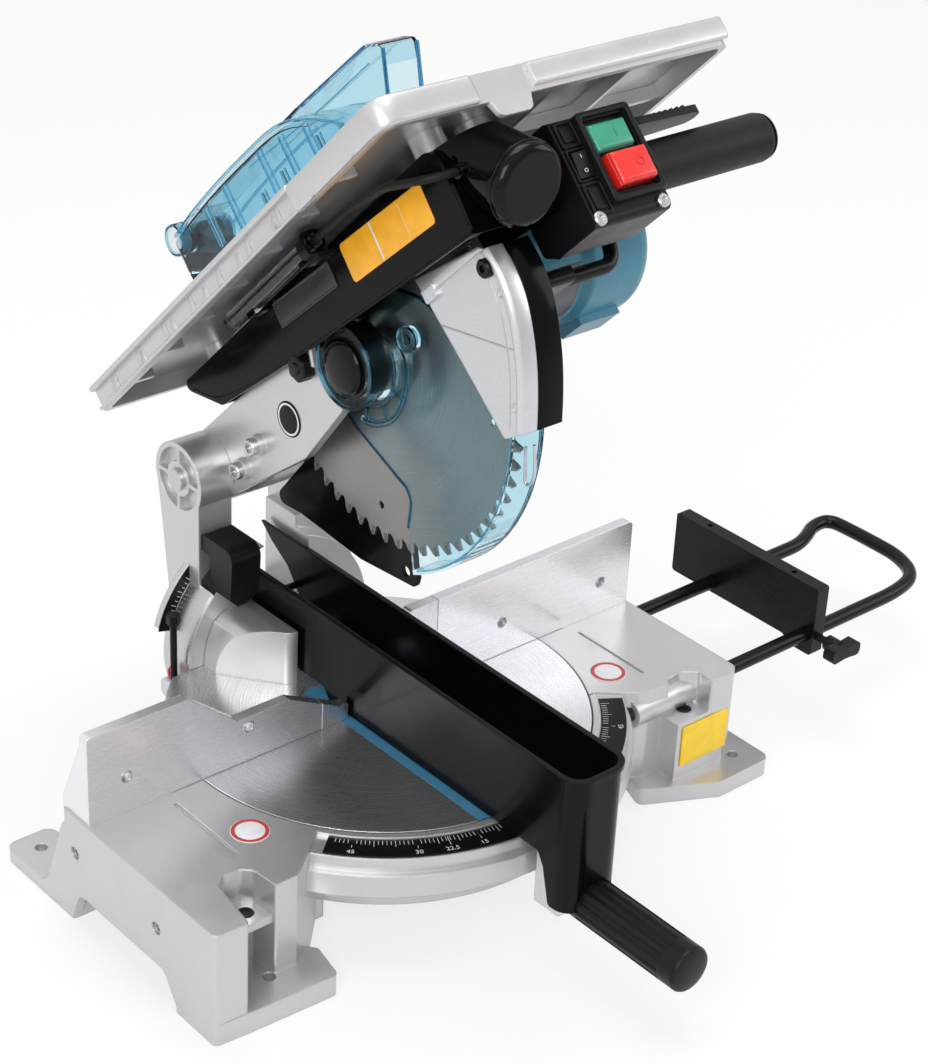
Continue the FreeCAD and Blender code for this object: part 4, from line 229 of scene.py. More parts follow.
def silver_paint(name, colour, roughness):
    """Painted casting: fine flakes in the colour, orange peel and the slow waves of a cast skin."""
    finish = Finish(name, colour, roughness, FLAKES, CASTING_ROUNDING, Coat_Weight=0.15, Coat_Roughness=0.2)
    finish.shaded(finish.noise(FLAKE_SIZE, 2.0), 0.04)
    finish.scuffed(finish.noise(HANDLING_SIZE, 3.0), 0.05)
    finish.bumped(finish.noise(WAVE_SIZE, 2.0), WAVE_DEPTH, 0.4)
    finish.bumped(finish.noise(PEEL_SIZE, 1.0), PEEL_DEPTH, 0.3)
    return finish


finishes["painted_casting"] = silver_paint("silver paint", srgb(203, 202, 203), 0.34)
finishes["silver_panel"] = silver_paint("silver panel paint", srgb(204, 205, 208), 0.30)
print("painted finishes:", len(finishes))

# %% [markdown]
# The turntable's top is faced on a lathe. The tool leaves rings too fine to count, which spread a
# reflection into a fan that turns round the centre, as on the back of a disc. The shader's
# anisotropy makes that fan, and it needs the direction of the rings: at each place that is the
# direction square to the line from the mitre axis, so a Cross Product with +Z gives it. Soft wedges
# of lighter and darker colour, by angle round the axis, are a painted reflection: they paint that
# fan into the base colour for light that makes none.

# %% Turned and ground metal
METAL = 0.95


def ringed(name, colour, roughness, anisotropy, axis, centre, ring=0.0012, painted_fan=0.0):
    """Metal turned about an axis: rings in the bump, a reflection drawn out along them, and, when painted_fan
    is given, a painted reflection fan of lighter and darker wedges in the colour.
    """
    finish = Finish(name, colour, roughness, METAL, Anisotropic=anisotropy)
    moved = finish.node("ShaderNodeVectorMath", operation="SUBTRACT")
    moved.inputs[1].default_value = centre
    finish.join(finish.place, moved.inputs[0])
    cross = finish.node("ShaderNodeVectorMath", operation="CROSS_PRODUCT")
    cross.inputs[0].default_value = axis
    finish.join(moved.outputs["Vector"], cross.inputs[1])
    finish.join(cross.outputs["Vector"], finish.shader.inputs["Tangent"])
    length = finish.node("ShaderNodeVectorMath", operation="LENGTH")
    finish.join(cross.outputs["Vector"], length.inputs[0])
    combined = finish.node("ShaderNodeCombineXYZ")
    finish.join(length.outputs["Value"], combined.inputs["X"])
    rings = finish.noise(ring, 4.0, combined.outputs["Vector"])
    finish.scuffed(rings, 0.05)
    finish.bumped(rings, 0.00002, 0.4)
    # Painted reflection: the colour goes lighter and darker by angle round the axis, in wedges like a
    # reflection fan.
    if painted_fan:
        around = finish.node("ShaderNodeVectorMath", operation="NORMALIZE")
        finish.join(cross.outputs["Vector"], around.inputs[0])
        painted_fan_wedges = finish.noise(1.1, 2.0, around.outputs["Vector"])
        finish.shaded(painted_fan_wedges, painted_fan)
    else:
        finish.shaded(finish.noise(0.05, 2.0), 0.03)
    return finish


def streaked(name, colour, roughness, stretch, grain=0.0006, spread=0.03):
    """Metal brushed one way: a noise drawn out along the strokes drives roughness, colour and bump."""
    finish = Finish(name, colour, roughness, METAL, Anisotropic=0.3)
    strokes = finish.noise(grain, 3.0, finish.stretched(stretch))
    finish.scuffed(strokes, 0.03)
    finish.shaded(strokes, spread)
    finish.bumped(strokes, 0.000005, 0.3)
    return finish


# The turned top's colour carries a painted reflection fan, 0.2 either side of its own.
finishes["machined_aluminium"] = ringed(
    "turned top", srgb(220, 220, 223), 0.28, 0.7, (0, 0, 1), (0, 0, 0), painted_fan=0.2)
finishes["brushed_aluminium"] = streaked(
    "brushed fence", srgb(236, 237, 240), 0.26, (60, 1, 1), 0.0004, spread=0.012)
finishes["steel"] = streaked("bright steel", srgb(198, 198, 201), 0.26, (1, 1, 25))
finishes["zinc_fasteners"] = streaked("zinc plate", srgb(182, 182, 182), 0.34, (4, 1, 1))
finishes["copper"] = streaked("enamelled winding", srgb(176, 104, 56), 0.35, (1, 12, 12))

# %% [markdown]
# The black pieces differ by their gloss more than by their colour. Moulded plastic has a fine
# grained skin, the stamped case and the trough have a smooth paint, the lamp is polished, and rubber
# sends back hardly any highlight. Black paint looks deepest where the shader's specular level is
# low, because a bright room is then hardly mirrored on the flats, and a thin coat keeps the crisp
# highlight on the edges.

# %% Black plastic, paint, steel and rubber


def moulded(name, colour, roughness, grain, depth, coat=0.0, specular=0.5):
    """Moulded plastic: a leathery grain from a fine noise, and slow flow marks in the gloss."""
    sockets = {"Coat_Weight": coat, "Coat_Roughness": 0.1, "Specular_IOR_Level": specular}
    finish = Finish(name, colour, roughness, **sockets)
    finish.bumped(finish.noise(grain, 2.0), depth, 0.4)
    finish.scuffed(finish.noise(0.02, 3.0), 0.04)
    finish.shaded(finish.noise(0.012, 4.0), 0.08)
    return finish


DARK_MOULDINGS = {
    # name, levels on a screen, roughness, grain, depth, coat, specular level
    "black_plastic": ("black grained plastic", (19, 19, 21), 0.36, 0.0009, 0.00004, 0.0, 0.2),
    "gloss_black": ("polished black plastic", (7, 7, 8), 0.10, 0.006, 0.00002, 0.2, 0.1),
    "black_case": ("black gloss paint", (7, 7, 8), 0.17, 0.004, 0.00002, 0.06, 0.08),
    "trough_black": ("black trough", (9, 9, 10), 0.22, 0.004, 0.00002, 0.08, 0.12),
    "black_steel": ("black coated steel", (13, 12, 13), 0.28, 0.0015, 0.00003, 0.08, 0.16),
    "black_rubber": ("black rubber", (20, 20, 21), 0.5, 0.0007, 0.00005, 0.0, 0.25),
    "scale_strip": ("black scale strip", (14, 14, 16), 0.32, 0.002, 0.00001, 0.0, 0.15),
}
COLOURED_MOULDINGS = {
    # name, levels on a screen, roughness, grain, depth, coat
    "teal_housing": ("teal plastic", (58, 126, 150), 0.33, 0.0011, 0.00004, 0.1),
    "kerf_insert": ("steel blue plastic", (72, 134, 168), 0.42, 0.0011, 0.00004),
    "green_button": ("green button plastic", (52, 152, 122), 0.2, 0.003, 0.00001, 0.3),
    "red_button": ("red button plastic", (226, 40, 34), 0.2, 0.003, 0.00001, 0.3),
}
for kind, (name, levels, *numbers) in {**DARK_MOULDINGS, **COLOURED_MOULDINGS}.items():
    finishes[kind] = moulded(name, srgb(*levels), *numbers)
print("finishes so far:", len(finishes))

# %% [markdown]
# The guards are clear blue polycarbonate, about 2 mm thick. Light takes more colour where it goes
# through more plastic, which is why their edges look so much bluer than their walls. A second,
# deeper blue is for the thin beads that stand for those edges. The last finishes are for small
# things that the machine's model doesn't have: bare labels, marks and hard metal teeth.

# %% Clear guards, the blade and small finishes


def clear(name, colour, roughness, index):
    """Clear plastic: light goes through it and is tinted, with faint moulding waves."""
    finish = Finish(name, colour, roughness, rounding=0.0, IOR=index, Transmission_Weight=1.0)
    finish.bumped(finish.noise(0.02, 2.0), 0.00003, 0.3)
    return finish


CLEAR_PLASTICS = {
    # name, levels on a screen, roughness, index of refraction
    "guard_blue": ("clear blue guard", (216, 239, 246), 0.03, 1.2),
    "deep_blue": ("deep blue edge", (86, 150, 190), 0.05, 1.2),
    "edge_blue": ("blue edge", (150, 205, 226), 0.05, 1.2),
    "clear_sleeve": ("clear sleeve", (215, 218, 226), 0.05, 1.35),
    "lens": ("lamp lens", (240, 244, 250), 0.12, 1.45),
}
PLATE_GRAIN, PLATE_DEPTH = 0.004, 0.00001
PLATES_AND_PAINTS = {
    # name, levels on a screen, roughness
    "yellow_label": ("yellow plate", (250, 206, 32), 0.35),
    "amber_label": ("amber plate", (246, 176, 38), 0.35),
    "pale_label": ("pale plate", (232, 231, 232), 0.35),
    "dark_badge": ("dark badge", (44, 44, 50), 0.30),
    "grey_plate": ("grey plate", (84, 86, 90), 0.38),
    "red_paint": ("red paint", (196, 62, 58), 0.4),
    "white_paint": ("white marks", (232, 232, 232), 0.5),
}
for kind, (name, levels, roughness, index) in CLEAR_PLASTICS.items():
    finishes[kind] = clear(name, srgb(*levels), roughness, index)
for kind, (name, levels, roughness) in PLATES_AND_PAINTS.items():
    finishes[kind] = moulded(name, srgb(*levels), roughness, PLATE_GRAIN, PLATE_DEPTH)

blade_low, blade_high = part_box("blade")
blade_centre = tuple((a + b) / 2 for a, b in zip(blade_low, blade_high))
# The blade's colour carries a painted reflection fan, 0.16 either side of its own.
finishes["blade_steel"] = ringed(
    "ground blade", srgb(146, 142, 139), 0.30, 0.6, (1, 0, 0), blade_centre, 0.0008, painted_fan=0.16)
finishes["carbide"] = streaked("hard metal teeth", srgb(120, 118, 116), 0.4, (1, 1, 1))
print("finishes:", len(finishes), "blade centre", [round(v, 4) for v in blade_centre])

# %% [markdown]
# Each piece of the machine already names the kind of finish that it has, so one loop gives all of
# them theirs. The trough differs from other plastic of its kind and is named by itself.

# %% Finish for each piece
OWN_FINISH = {"trough_cover": "trough_black", "trough_tail": "trough_black"}
slot_of = {part["node"]: part["material_slot"] for part in frame["record"]["subparts"]}
RECORD_SLOTS = set(slot_of.values())
kind_of = {**slot_of, **OWN_FINISH}
for name, node in nodes.items():
    for holder in node.material_slots:
        holder.material = finishes[kind_of[name]].material
print("finished:", len(nodes), "pieces in", len(set(kind_of.values())), "finishes")

# %% [markdown]
# New trim is worked out in millimetres, in two sets of axes. The table's are the machine's own with
# zero height at the table top. The head's start at the blade's centre and are drawn with the head
# down, and a turn of 45 degrees about the hinge pin raises them. In both, a place is given as x,
# forward, which is -Y, and up. A seat is a small set of axes on some face: across it, up it, and out
# of it.

# %% Places for the trim
TABLE_HEIGHT = 85.0
HINGE_PIN = np.array((0.0, 153.0, 215.0))
BLADE_FROM_PIN = np.array((0.0, 198.4, 13.3))
HEAD_TRAVEL = math.radians(45.0)
LEFT, RIGHT, AWAY, UP = (-1.0, 0.0, 0.0), (1.0, 0.0, 0.0), (0.0, 1.0, 0.0), (0.0, 0.0, 1.0)


def seat(origin, across, upward):
    """A 4x4 placement whose third axis, across x upward, points out of the face."""
    first = np.array(across, float) / np.linalg.norm(across)
    second = np.array(upward, float) / np.linalg.norm(upward)
    made = np.eye(4)
    made[:3, 0] = first
    made[:3, 1] = second
    made[:3, 2] = np.cross(first, second)
    made[:3, 3] = origin
    return made


def raised_head():
    """The head's axes, turned back about X by its travel, with the arm's end left on the hinge pin."""
    cosine, sine = math.cos(HEAD_TRAVEL), math.sin(HEAD_TRAVEL)
    turn = np.array(((1, 0, 0), (0, cosine, sine), (0, -sine, cosine)))
    made = np.eye(4)
    made[:3, :3] = turn
    made[:3, 3] = HINGE_PIN - turn @ BLADE_FROM_PIN
    return made


def on_left(x, forward, up, lean=0.0):
    """A seat on a face that looks left, leant forwards and up by some degrees."""
    tilt = math.radians(lean)
    across = (0, -math.cos(tilt), math.sin(tilt))
    upward = (0, math.sin(tilt), math.cos(tilt))
    return seat((x, -forward, up), across, upward)


def on_right(x, forward, up):
    """A seat on a face that looks right."""
    return seat((x, -forward, up), AWAY, UP)


def on_front(x, forward, up):
    """A seat on a face that looks forward."""
    return seat((x, -forward, up), RIGHT, UP)


def on_top(x, forward, up=0.0):
    """A seat on a level face."""
    return seat((x, -forward, up), RIGHT, AWAY)


TABLE = on_top(0.0, 0.0, TABLE_HEIGHT)
HEAD = raised_head()
print("blade centre by the head's axes", (HEAD[:3, 3] * MM).round(4))

# %% [markdown]
# Every new surface is a grid of points that numpy works out as one array: rows of closed loops that
# are stacked, turned or carried along a path. Neighbouring rows are joined by four-sided faces. The
# first and last loops are filled, or the last row is joined to the first, as on a ring.

# %% Surfaces from rows of points
HEAD_BODIES = {"head", "blade", "lower_guard", "upper_guard", "upper_table", "start_button", "stop_button",
               "light_rocker"}
SHARP_ANGLE = math.radians(35.0)


def stacked(rows, ring=False):
    """Faces over rows of closed loops; ring joins the last row to the first, else both ends are filled."""
    rows = np.asarray(rows, float)
    layers, count = rows.shape[:2]
    spots = np.arange(layers * count).reshape(layers, count)
    lower = spots if ring else spots[:-1]
    upper = np.roll(spots, -1, axis=0) if ring else spots[1:]
    quads = np.stack((lower, np.roll(lower, -1, axis=1), np.roll(upper, -1, axis=1), upper), axis=-1)
    faces = quads.reshape(-1, 4).tolist()
    if not ring:
        faces += [spots[0][::-1].tolist(), spots[-1].tolist()]
    return rows.reshape(-1, 3), faces


def joined(*parts):
    """Several sets of points and faces as one."""
    starts = np.cumsum([0] + [len(points) for points, _ in parts])
    faces = [[index + int(start) for index in face]
             for start, (_, some) in zip(starts, parts) for face in some]
    return np.concatenate([points for points, _ in parts]), faces


def moved(part, place):
    """The same faces with their points carried into a seat."""
    points, faces = part
    return points @ place[:3, :3].T + place[:3, 3], faces


def repeated(part, places):
    """The same part on every one of some seats."""
    return joined(*(moved(part, place) for place in places))


def piece(name, part, body, finish, slot=None, place=None):
    """A mesh object from points in millimetres, on a seat if one is given, riding on a body.

    A slot is worked out, the finish's own where the record has one of that name unless another is named, but
    nothing uses it.
    """
    if place is not None:
        part = moved(part, place)
    points, faces = moved(part, HEAD if body in HEAD_BODIES else TABLE)
    mesh = bpy.data.meshes.new(name)
    mesh.from_pydata((points * MM).tolist(), [], faces)
    mesh.materials.append(finishes[finish].material)
    mesh.polygons.foreach_set("use_smooth", np.ones(len(mesh.polygons), bool))
    mesh.set_sharp_from_angle(angle=SHARP_ANGLE)
    made = bpy.data.objects.new(name, mesh)
    bpy.context.scene.collection.objects.link(made)
    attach(made, body)
    if slot is None and finish in RECORD_SLOTS:
        slot = finish
    return made


print("bodies that move with the head:", len(HEAD_BODIES))

# %% [markdown]
# Flat things are outlines given a thickness: plates, badges, buttons and caps. Their upper edge is a
# quarter round, which catches the light as a real edge does.

# %% Outlines and plates
QUARTER = np.linspace(0.0, math.pi / 2, 5)


def rounded(width, height, radius, steps=6):
    """Rounded rectangle about the origin: a quarter turn of the radius about each corner's own centre."""
    turn = np.linspace(0.0, math.pi / 2, steps)
    corners = []
    for n, (side, end) in enumerate(((1, 1), (-1, 1), (-1, -1), (1, -1))):
        angle = turn + n * math.pi / 2
        corners.append(np.stack((
            side * (width / 2 - radius) + radius * np.cos(angle),
            end * (height / 2 - radius) + radius * np.sin(angle),
        ), axis=-1))
    return np.concatenate(corners)


def circle(radius, count=40):
    """Points all round a circle: radius times the cosine and sine of even angles."""
    angle = np.linspace(0.0, 2 * math.pi, count, endpoint=False)
    return radius * np.stack((np.cos(angle), np.sin(angle)), axis=-1)


def inset(outline, depth):
    """The outline drawn inwards, square to the line from each point's last neighbour to its next."""
    along = np.roll(outline, -1, axis=0) - np.roll(outline, 1, axis=0)
    along /= np.linalg.norm(along, axis=1, keepdims=True)
    return outline - depth * np.stack((along[:, 1], -along[:, 0]), axis=-1)


def level(outline, height):
    """A flat outline at a height."""
    return np.column_stack((outline, np.full(len(outline), float(height))))


def edged(outline, high, edge, side=1):
    """Rows of a rounded upper edge: in by edge(1 - cos) while they rise by edge(sin)."""
    return [level(inset(outline, side * edge * (1 - math.cos(angle))), high - edge * (1 - math.sin(angle)))
            for angle in QUARTER]


def slab(outline, low, high, edge):
    """The outline from low to high, with its upper edge rounded."""
    return stacked([level(outline, low), *edged(outline, high, edge)])


def rim(outer, inner, low, high, edge):
    """A raised border between two outlines, with both upper edges rounded."""
    inner_edge = edged(inner, high, edge, side=-1)[::-1]
    return stacked([level(outer, low), *edged(outer, high, edge), *inner_edge, level(inner, low)], ring=True)


def disc(radius, low, high, edge=0.3):
    """A round plate."""
    return slab(circle(radius), low, high, edge)


def plate(width, height, corner, low, high, edge):
    """A plate with round corners."""
    return slab(rounded(width, height, corner), low, high, edge)


def hoop(outer, inner, low, high, edge, count=40):
    """A round raised border."""
    return rim(circle(outer, count), circle(inner, count), low, high, edge)


def border(width, height, corners, less, low, high, edge):
    """A raised border with round corners, whose inside is less wide and less high by the same."""
    inside = rounded(width - less, height - less, corners[1])
    return rim(rounded(width, height, corners[0]), inside, low, high, edge)


print("a plate has", len(disc(10.0, 0.0, 1.0)[1]), "faces")

# %% [markdown]
# Round things are profiles turned about an axis. Ticks and teeth are small blocks, all of them
# worked out at once, and numbers come from a font's outlines, given a little thickness.

# %% Turned shapes, blocks and numbers
CUBE = np.array([(-1, -1, -1), (1, -1, -1), (1, 1, -1), (-1, 1, -1),
                 (-1, -1, 1), (1, -1, 1), (1, 1, 1), (-1, 1, 1)])
CUBE_FACES = np.array([(0, 3, 2, 1), (4, 5, 6, 7), (0, 1, 5, 4), (1, 2, 6, 5), (2, 3, 7, 6), (3, 0, 4, 7)])
AXIS_RADIUS = 0.01


def turned(profile, count=40, ring=False):
    """A profile of radius and height, upwards along its outside, turned about the third axis."""
    rows = [level(circle(max(radius, AXIS_RADIUS), count), height) for radius, height in profile]
    return stacked(rows, ring)


def blocks(centres, across, upward, sizes):
    """A block at each centre: plus and minus half its size along across, upward and their product."""
    centres, across, upward = (np.atleast_2d(np.asarray(v, float)) for v in (centres, across, upward))
    sizes = np.broadcast_to(np.asarray(sizes, float), centres.shape)
    axes = np.stack(np.broadcast_arrays(across, upward, np.cross(across, upward)), axis=1)
    points = centres[:, None] + np.einsum("ck,nk,nkd->ncd", CUBE / 2, sizes, axes)
    starts = len(CUBE) * np.arange(len(centres))
    faces = (CUBE_FACES[None] + starts[:, None, None]).reshape(-1, 4)
    return points.reshape(-1, 3), faces.tolist()


def lettering(text, size, thickness=0.12):
    """A word or number as a solid mesh about its own middle."""
    curve = bpy.data.curves.new(text, "FONT")
    curve.body = text
    curve.size = size
    curve.align_x = "CENTER"
    curve.align_y = "CENTER"
    curve.extrude = thickness / 2
    curve.resolution_u = 3
    holder = bpy.data.objects.new(text, curve)
    bpy.context.scene.collection.objects.link(holder)
    mesh = bpy.data.meshes.new_from_object(holder.evaluated_get(bpy.context.evaluated_depsgraph_get()))
    points = np.empty(len(mesh.vertices) * 3)
    mesh.vertices.foreach_get("co", points)
    faces = [list(polygon.vertices) for polygon in mesh.polygons]
    bpy.data.objects.remove(holder)
    bpy.data.meshes.remove(mesh)
    bpy.data.curves.remove(curve)
    return points.reshape(-1, 3), faces


print("a block has", len(CUBE_FACES), "faces")

# %% [markdown]
# The mitre scale is a black strip with a white tick for every degree. Fives are longer, and the
# angles that a joiner uses most have the longest ticks and a number. A tick is a thin block whose
# long side points to the mitre axis.

# %% Ticks and numbers of the mitre scale
SCALE_TOP = -1.35
SCALE_START = 155.0
NUMBERS_AT = 167.6
NUMBER_SIZE = 5.4
NAMED_ANGLES = np.array([sign * angle for angle in (0, 15, 22.5, 30, 45) for sign in (-1, 1)])
TICK, FIVE, NAMED = 4.0, 6.0, 8.5
TICK_WIDTH, TICK_HEIGHT = 0.38, 0.16


def scale_ticks():
    """Angle a from the front stands at (r sin a, -r cos a); r is the strip's inner edge plus half a tick."""
    angles = np.arange(-49.0, 56.0)
    lengths = np.concatenate((np.where(angles % 5 == 0, FIVE, TICK), np.full(len(NAMED_ANGLES), NAMED)))
    angles = np.radians(np.concatenate((angles, NAMED_ANGLES)))
    outward = np.column_stack((np.sin(angles), -np.cos(angles), np.zeros(len(angles))))
    around = np.column_stack((np.cos(angles), np.sin(angles), np.zeros(len(angles))))
    centres = outward * (SCALE_START + lengths / 2)[:, None] + np.array((0, 0, SCALE_TOP))
    sizes = np.column_stack((np.full(len(angles), TICK_WIDTH), lengths, np.full(len(angles), TICK_HEIGHT)))
    return blocks(centres, around, -outward, sizes)


def scale_numbers():
    """Each number stands beyond its tick, with its head towards the mitre axis."""
    made = []
    for angle in sorted(set(NAMED_ANGLES.tolist())):
        turn = math.radians(angle)
        outward = np.array((math.sin(turn), -math.cos(turn), 0.0))
        around = np.array((math.cos(turn), math.sin(turn), 0.0))
        place = seat(outward * NUMBERS_AT + np.array((0, 0, SCALE_TOP)), around, -outward)
        made.append(moved(lettering(f"{abs(angle):g}", NUMBER_SIZE), place))
    return joined(*made)


piece("mitre_ticks", scale_ticks(), "base", "white_paint")
piece("mitre_numbers", scale_numbers(), "base", "white_paint")
print("angles with a number:", len(set(NAMED_ANGLES.tolist())))

# %% [markdown]
# The base has a few things of its own: a round bare label beside the blade on either table, a yellow
# plate on the right foot's front wall, set screws in the left side, the threaded eyes of the fence
# and rubber plugs in the bolt recesses.

# %% Small things on the base
LABEL_RADIUS = 13.0
LABEL_SEATS = (on_top(-157.3, 64.2), on_top(158.0, 63.6))
FENCE_EYES = [on_front(x, 0.05, 27.0) for x in (-207.5, -111.5, 207.5, 111.5)]
SET_SCREWS = (on_left(-236.4, -16.0, -29.0), on_left(-236.4, 76.0, -32.0))
RECESSES = (on_top(-190.0, 104.0, -25.0), on_top(197.0, 104.0, -25.0))
YELLOW_SEAT = on_front(205.5, 118.6, -45.0)

label = disc(LABEL_RADIUS, 0.0, 0.3, 0.15)
label_ring = hoop(LABEL_RADIUS - 0.6, LABEL_RADIUS - 3.2, 0.2, 0.42, 0.05)
piece("round_labels", repeated(label, LABEL_SEATS), "base", "pale_label")
piece("round_label_rings", repeated(label_ring, LABEL_SEATS), "base", "red_paint")
yellow_plate = plate(46.0, 33.0, 1.5, -0.6, 0.35, 0.1)
piece("base_yellow_plate", yellow_plate, "base", "yellow_label", place=YELLOW_SEAT)
eye = turned([(4.6, -0.2), (4.6, 0.1), (4.2, 0.35), (3.6, 0.35), (3.25, 0.0), (3.25, -0.2)], 28, ring=True)
piece("fence_eyes", repeated(eye, FENCE_EYES), "base", "steel")
set_screw = turned([(4.4, -3.0), (4.4, -0.3), (4.1, 0.0), (2.2, 0.0), (2.156, -1.8)], 24)
piece("side_set_screws", repeated(set_screw, SET_SCREWS), "base", "zinc_fasteners")
plug = turned([(5.4, -3.0), (5.4, 0.2), (4.9, 0.6), (3.6, 0.6), (3.2, -0.6), (0.1, -0.8)], 28)
piece("recess_plugs", repeated(plug, RECESSES), "base", "black_rubber")
print("bare labels:", len(LABEL_SEATS) + 1)

# %% [markdown]
# The bevel joint is a big drum. Its front rim is turned bright, and behind it a black strip on the
# flange shows the tilt. A red pointer reads that strip from the turntable's ear, and the end of a
# screw shows on the ear's left side.

# %% Tilt scale and its pointer
DRUM_RADIUS = 79.0
TILT_FACE = 140.85
TILT_TICKS_AT = 81.0
POINTER = np.array([(-9.0, -2.2), (-1.0, -2.6), (2.0, 0.0), (-1.0, 2.6), (-9.0, 2.2)])
tilt_seat = on_front(0.0, -TILT_FACE, 0.0)


def arc(radius, start, stop, count=32, centre=(0.0, 0.0)):
    """Points of an arc between two angles in degrees."""
    angle = np.radians(np.linspace(start, stop, count))
    return np.array(centre) + radius * np.stack((np.cos(angle), np.sin(angle)), axis=-1)


def sector(inner, outer, start, stop, low, high):
    """A flat ring sector: an arc out and the same arc back at a smaller radius."""
    outline = np.concatenate((arc(outer, start, stop), arc(inner, stop, start)))
    return stacked([level(outline, low), level(outline, high)])


def tilt_ticks():
    """Every third tick is longer, and all of them point to the tilt axis."""
    angles = np.radians(np.arange(20.0, 50.1, 2.5))
    lengths = np.where(np.arange(len(angles)) % 3 == 0, 4.6, 2.8)
    outward = np.column_stack((-np.cos(angles), np.zeros(len(angles)), np.sin(angles)))
    around = np.column_stack((np.sin(angles), np.zeros(len(angles)), np.cos(angles)))
    centres = outward * (TILT_TICKS_AT + lengths / 2)[:, None] + np.array((0, TILT_FACE - 0.45, 0))
    sizes = np.column_stack((np.full(len(angles), 0.5), lengths, np.full(len(angles), 0.2)))
    return blocks(centres, around, outward, sizes)


band = sector(DRUM_RADIUS - 0.4, DRUM_RADIUS + 0.5, 100.0, 177.0, 0.8, 25.0)
piece("drum_band", band, "bevel_arm", "steel", "machined_aluminium", tilt_seat)
piece("tilt_scale", sector(80.0, 89.6, 128.0, 166.0, 0.0, 0.4), "bevel_arm", "scale_strip", place=tilt_seat)
piece("tilt_ticks", tilt_ticks(), "bevel_arm", "white_paint")
pointer_seat = seat((-84.0, 130.6, -4.0), UP, LEFT)
piece("tilt_pointer", slab(POINTER, 0.0, 1.4, 0.4), "turntable", "red_paint", place=pointer_seat)
ear_screw = joined(
    turned([(4.4, -1.0), (4.4, 0.6), (3.8, 1.0), (2.1, 1.0), (2.0, 0.2)], 28),
    hoop(5.8, 4.5, -0.5, 0.3, 0.2),
)
piece("ear_screw", ear_screw, "turntable", "steel", place=on_left(-92.0, -116.0, -15.0))
print("tilt strip from", TILT_FACE, "mm behind the mitre axis")

# %% [markdown]
# Wires, folds and rolled edges are a small circle carried along a path. A path is given by a few
# points, and cutting its corners some times over makes it smooth. The upper case is pressed sheet
# with a raised crease beside the lamp, an amber plate with pale divisions and a dark badge, both
# bare here. The arm has a round badge, a black clamp knob and socket screws.

# %% Case and arm
CASE_FACE = -40.0
ARM_FACE = -32.0
CASE_LEAN = -3.5
KNOB_LOBES = 6
KNOB_SWELL = 0.06
CREASE = [(184.5, 66.0), (185.0, 52.0), (186.0, 40.0), (184.0, 15.0)]
FOLD = [(183.0, 13.6), (90.0, 20.0), (-8.0, 27.0), (-136.0, 40.0), (-162.0, 61.0)]
AMBER_SEAT = on_left(CASE_FACE, 109.6, 49.0, CASE_LEAN)
BADGE_SEAT = on_left(CASE_FACE, 6.0, 56.0, CASE_LEAN)
ARM_BADGE_SEAT = on_left(ARM_FACE, -83.0, 3.0)
ARM_SCREWS = (on_left(ARM_FACE - 5.0, -128.0, 3.0), on_left(ARM_FACE - 5.0, -158.0, -3.0))


def bead(path, radius, across=RIGHT, sides=8):
    """A circle carried along a flat path: its axes are across and the path's direction x across."""
    path = np.asarray(path, float)
    across = np.asarray(across, float)
    along = np.gradient(path, axis=0)
    along /= np.linalg.norm(along, axis=1, keepdims=True)
    other = np.cross(along, across)
    angle = np.linspace(0.0, 2 * math.pi, sides, endpoint=False)[None, :, None]
    return stacked(path[:, None] + radius * (np.cos(angle) * across + np.sin(angle) * other[:, None]))


def softened(points, times=3):
    """An open path with its corners cut at a quarter and three quarters of each run, some times over."""
    path = np.asarray(points, float)
    for _ in range(times):
        cuts = np.stack((0.75 * path[:-1] + 0.25 * path[1:], 0.25 * path[:-1] + 0.75 * path[1:]), axis=1)
        path = np.concatenate((path[:1], cuts.reshape(-1, path.shape[1]), path[-1:]))
    return path


def side_path(points, x):
    """Points given forward and up, on a plane of one x."""
    points = np.asarray(points, float)
    return np.column_stack((np.full(len(points), float(x)), -points[:, 0], points[:, 1]))


def side_bead(points, x, radius, sides=8):
    """A bead along points given forward and up, on a plane of one x."""
    return bead(side_path(points, x), radius, RIGHT, sides)


def knob(radius, height):
    """A lobed knob: its radius swells and shrinks with the cosine of the lobes times the angle."""
    angle = np.linspace(0.0, 2 * math.pi, 72, endpoint=False)
    reach = radius * (1 + KNOB_SWELL * np.cos(KNOB_LOBES * angle))
    outline = np.column_stack((reach * np.cos(angle), reach * np.sin(angle)))
    button = disc(radius * 0.45, height - 0.5, height + 1.2, 0.6)
    return joined(slab(outline, 0.0, height, 1.6), button)


amber_plate = plate(98.0, 26.0, 3.0, 0.0, 0.35, 0.15)
piece("case_amber_plate", amber_plate, "head", "amber_label", place=AMBER_SEAT)
divisions = blocks([(-11.5, 0, 0.36), (21.5, 0, 0.36)], RIGHT, AWAY, [(1.6, 25.0, 0.12), (0.4, 21.0, 0.12)])
piece("case_plate_divisions", divisions, "head", "pale_label", place=AMBER_SEAT)
badge_size = (75.0, 17.5)
badge = joined(plate(*badge_size, 1.0, 0.0, 0.8, 0.4), border(*badge_size, (1.0, 0.6), 2.4, 0.7, 1.1, 0.2))
piece("case_badge", badge, "head", "dark_badge", place=BADGE_SEAT)
piece("case_crease", side_bead(softened(CREASE), CASE_FACE + 0.2, 1.5), "head", "black_case")
piece("case_fold", side_bead(softened(FOLD), CASE_FACE + 0.6, 1.1), "head", "black_case")
piece("arm_badge", disc(12.6, 0.0, 0.7, 0.4), "head", "scale_strip", "", ARM_BADGE_SEAT)
arm_ring = hoop(11.4, 9.9, 0.5, 0.85, 0.1)
piece("arm_badge_ring", arm_ring, "head", "white_paint", place=ARM_BADGE_SEAT)
piece("arm_knob", knob(9.0, 9.0), "head", "black_plastic", place=on_left(ARM_FACE, -38.0, 23.0))
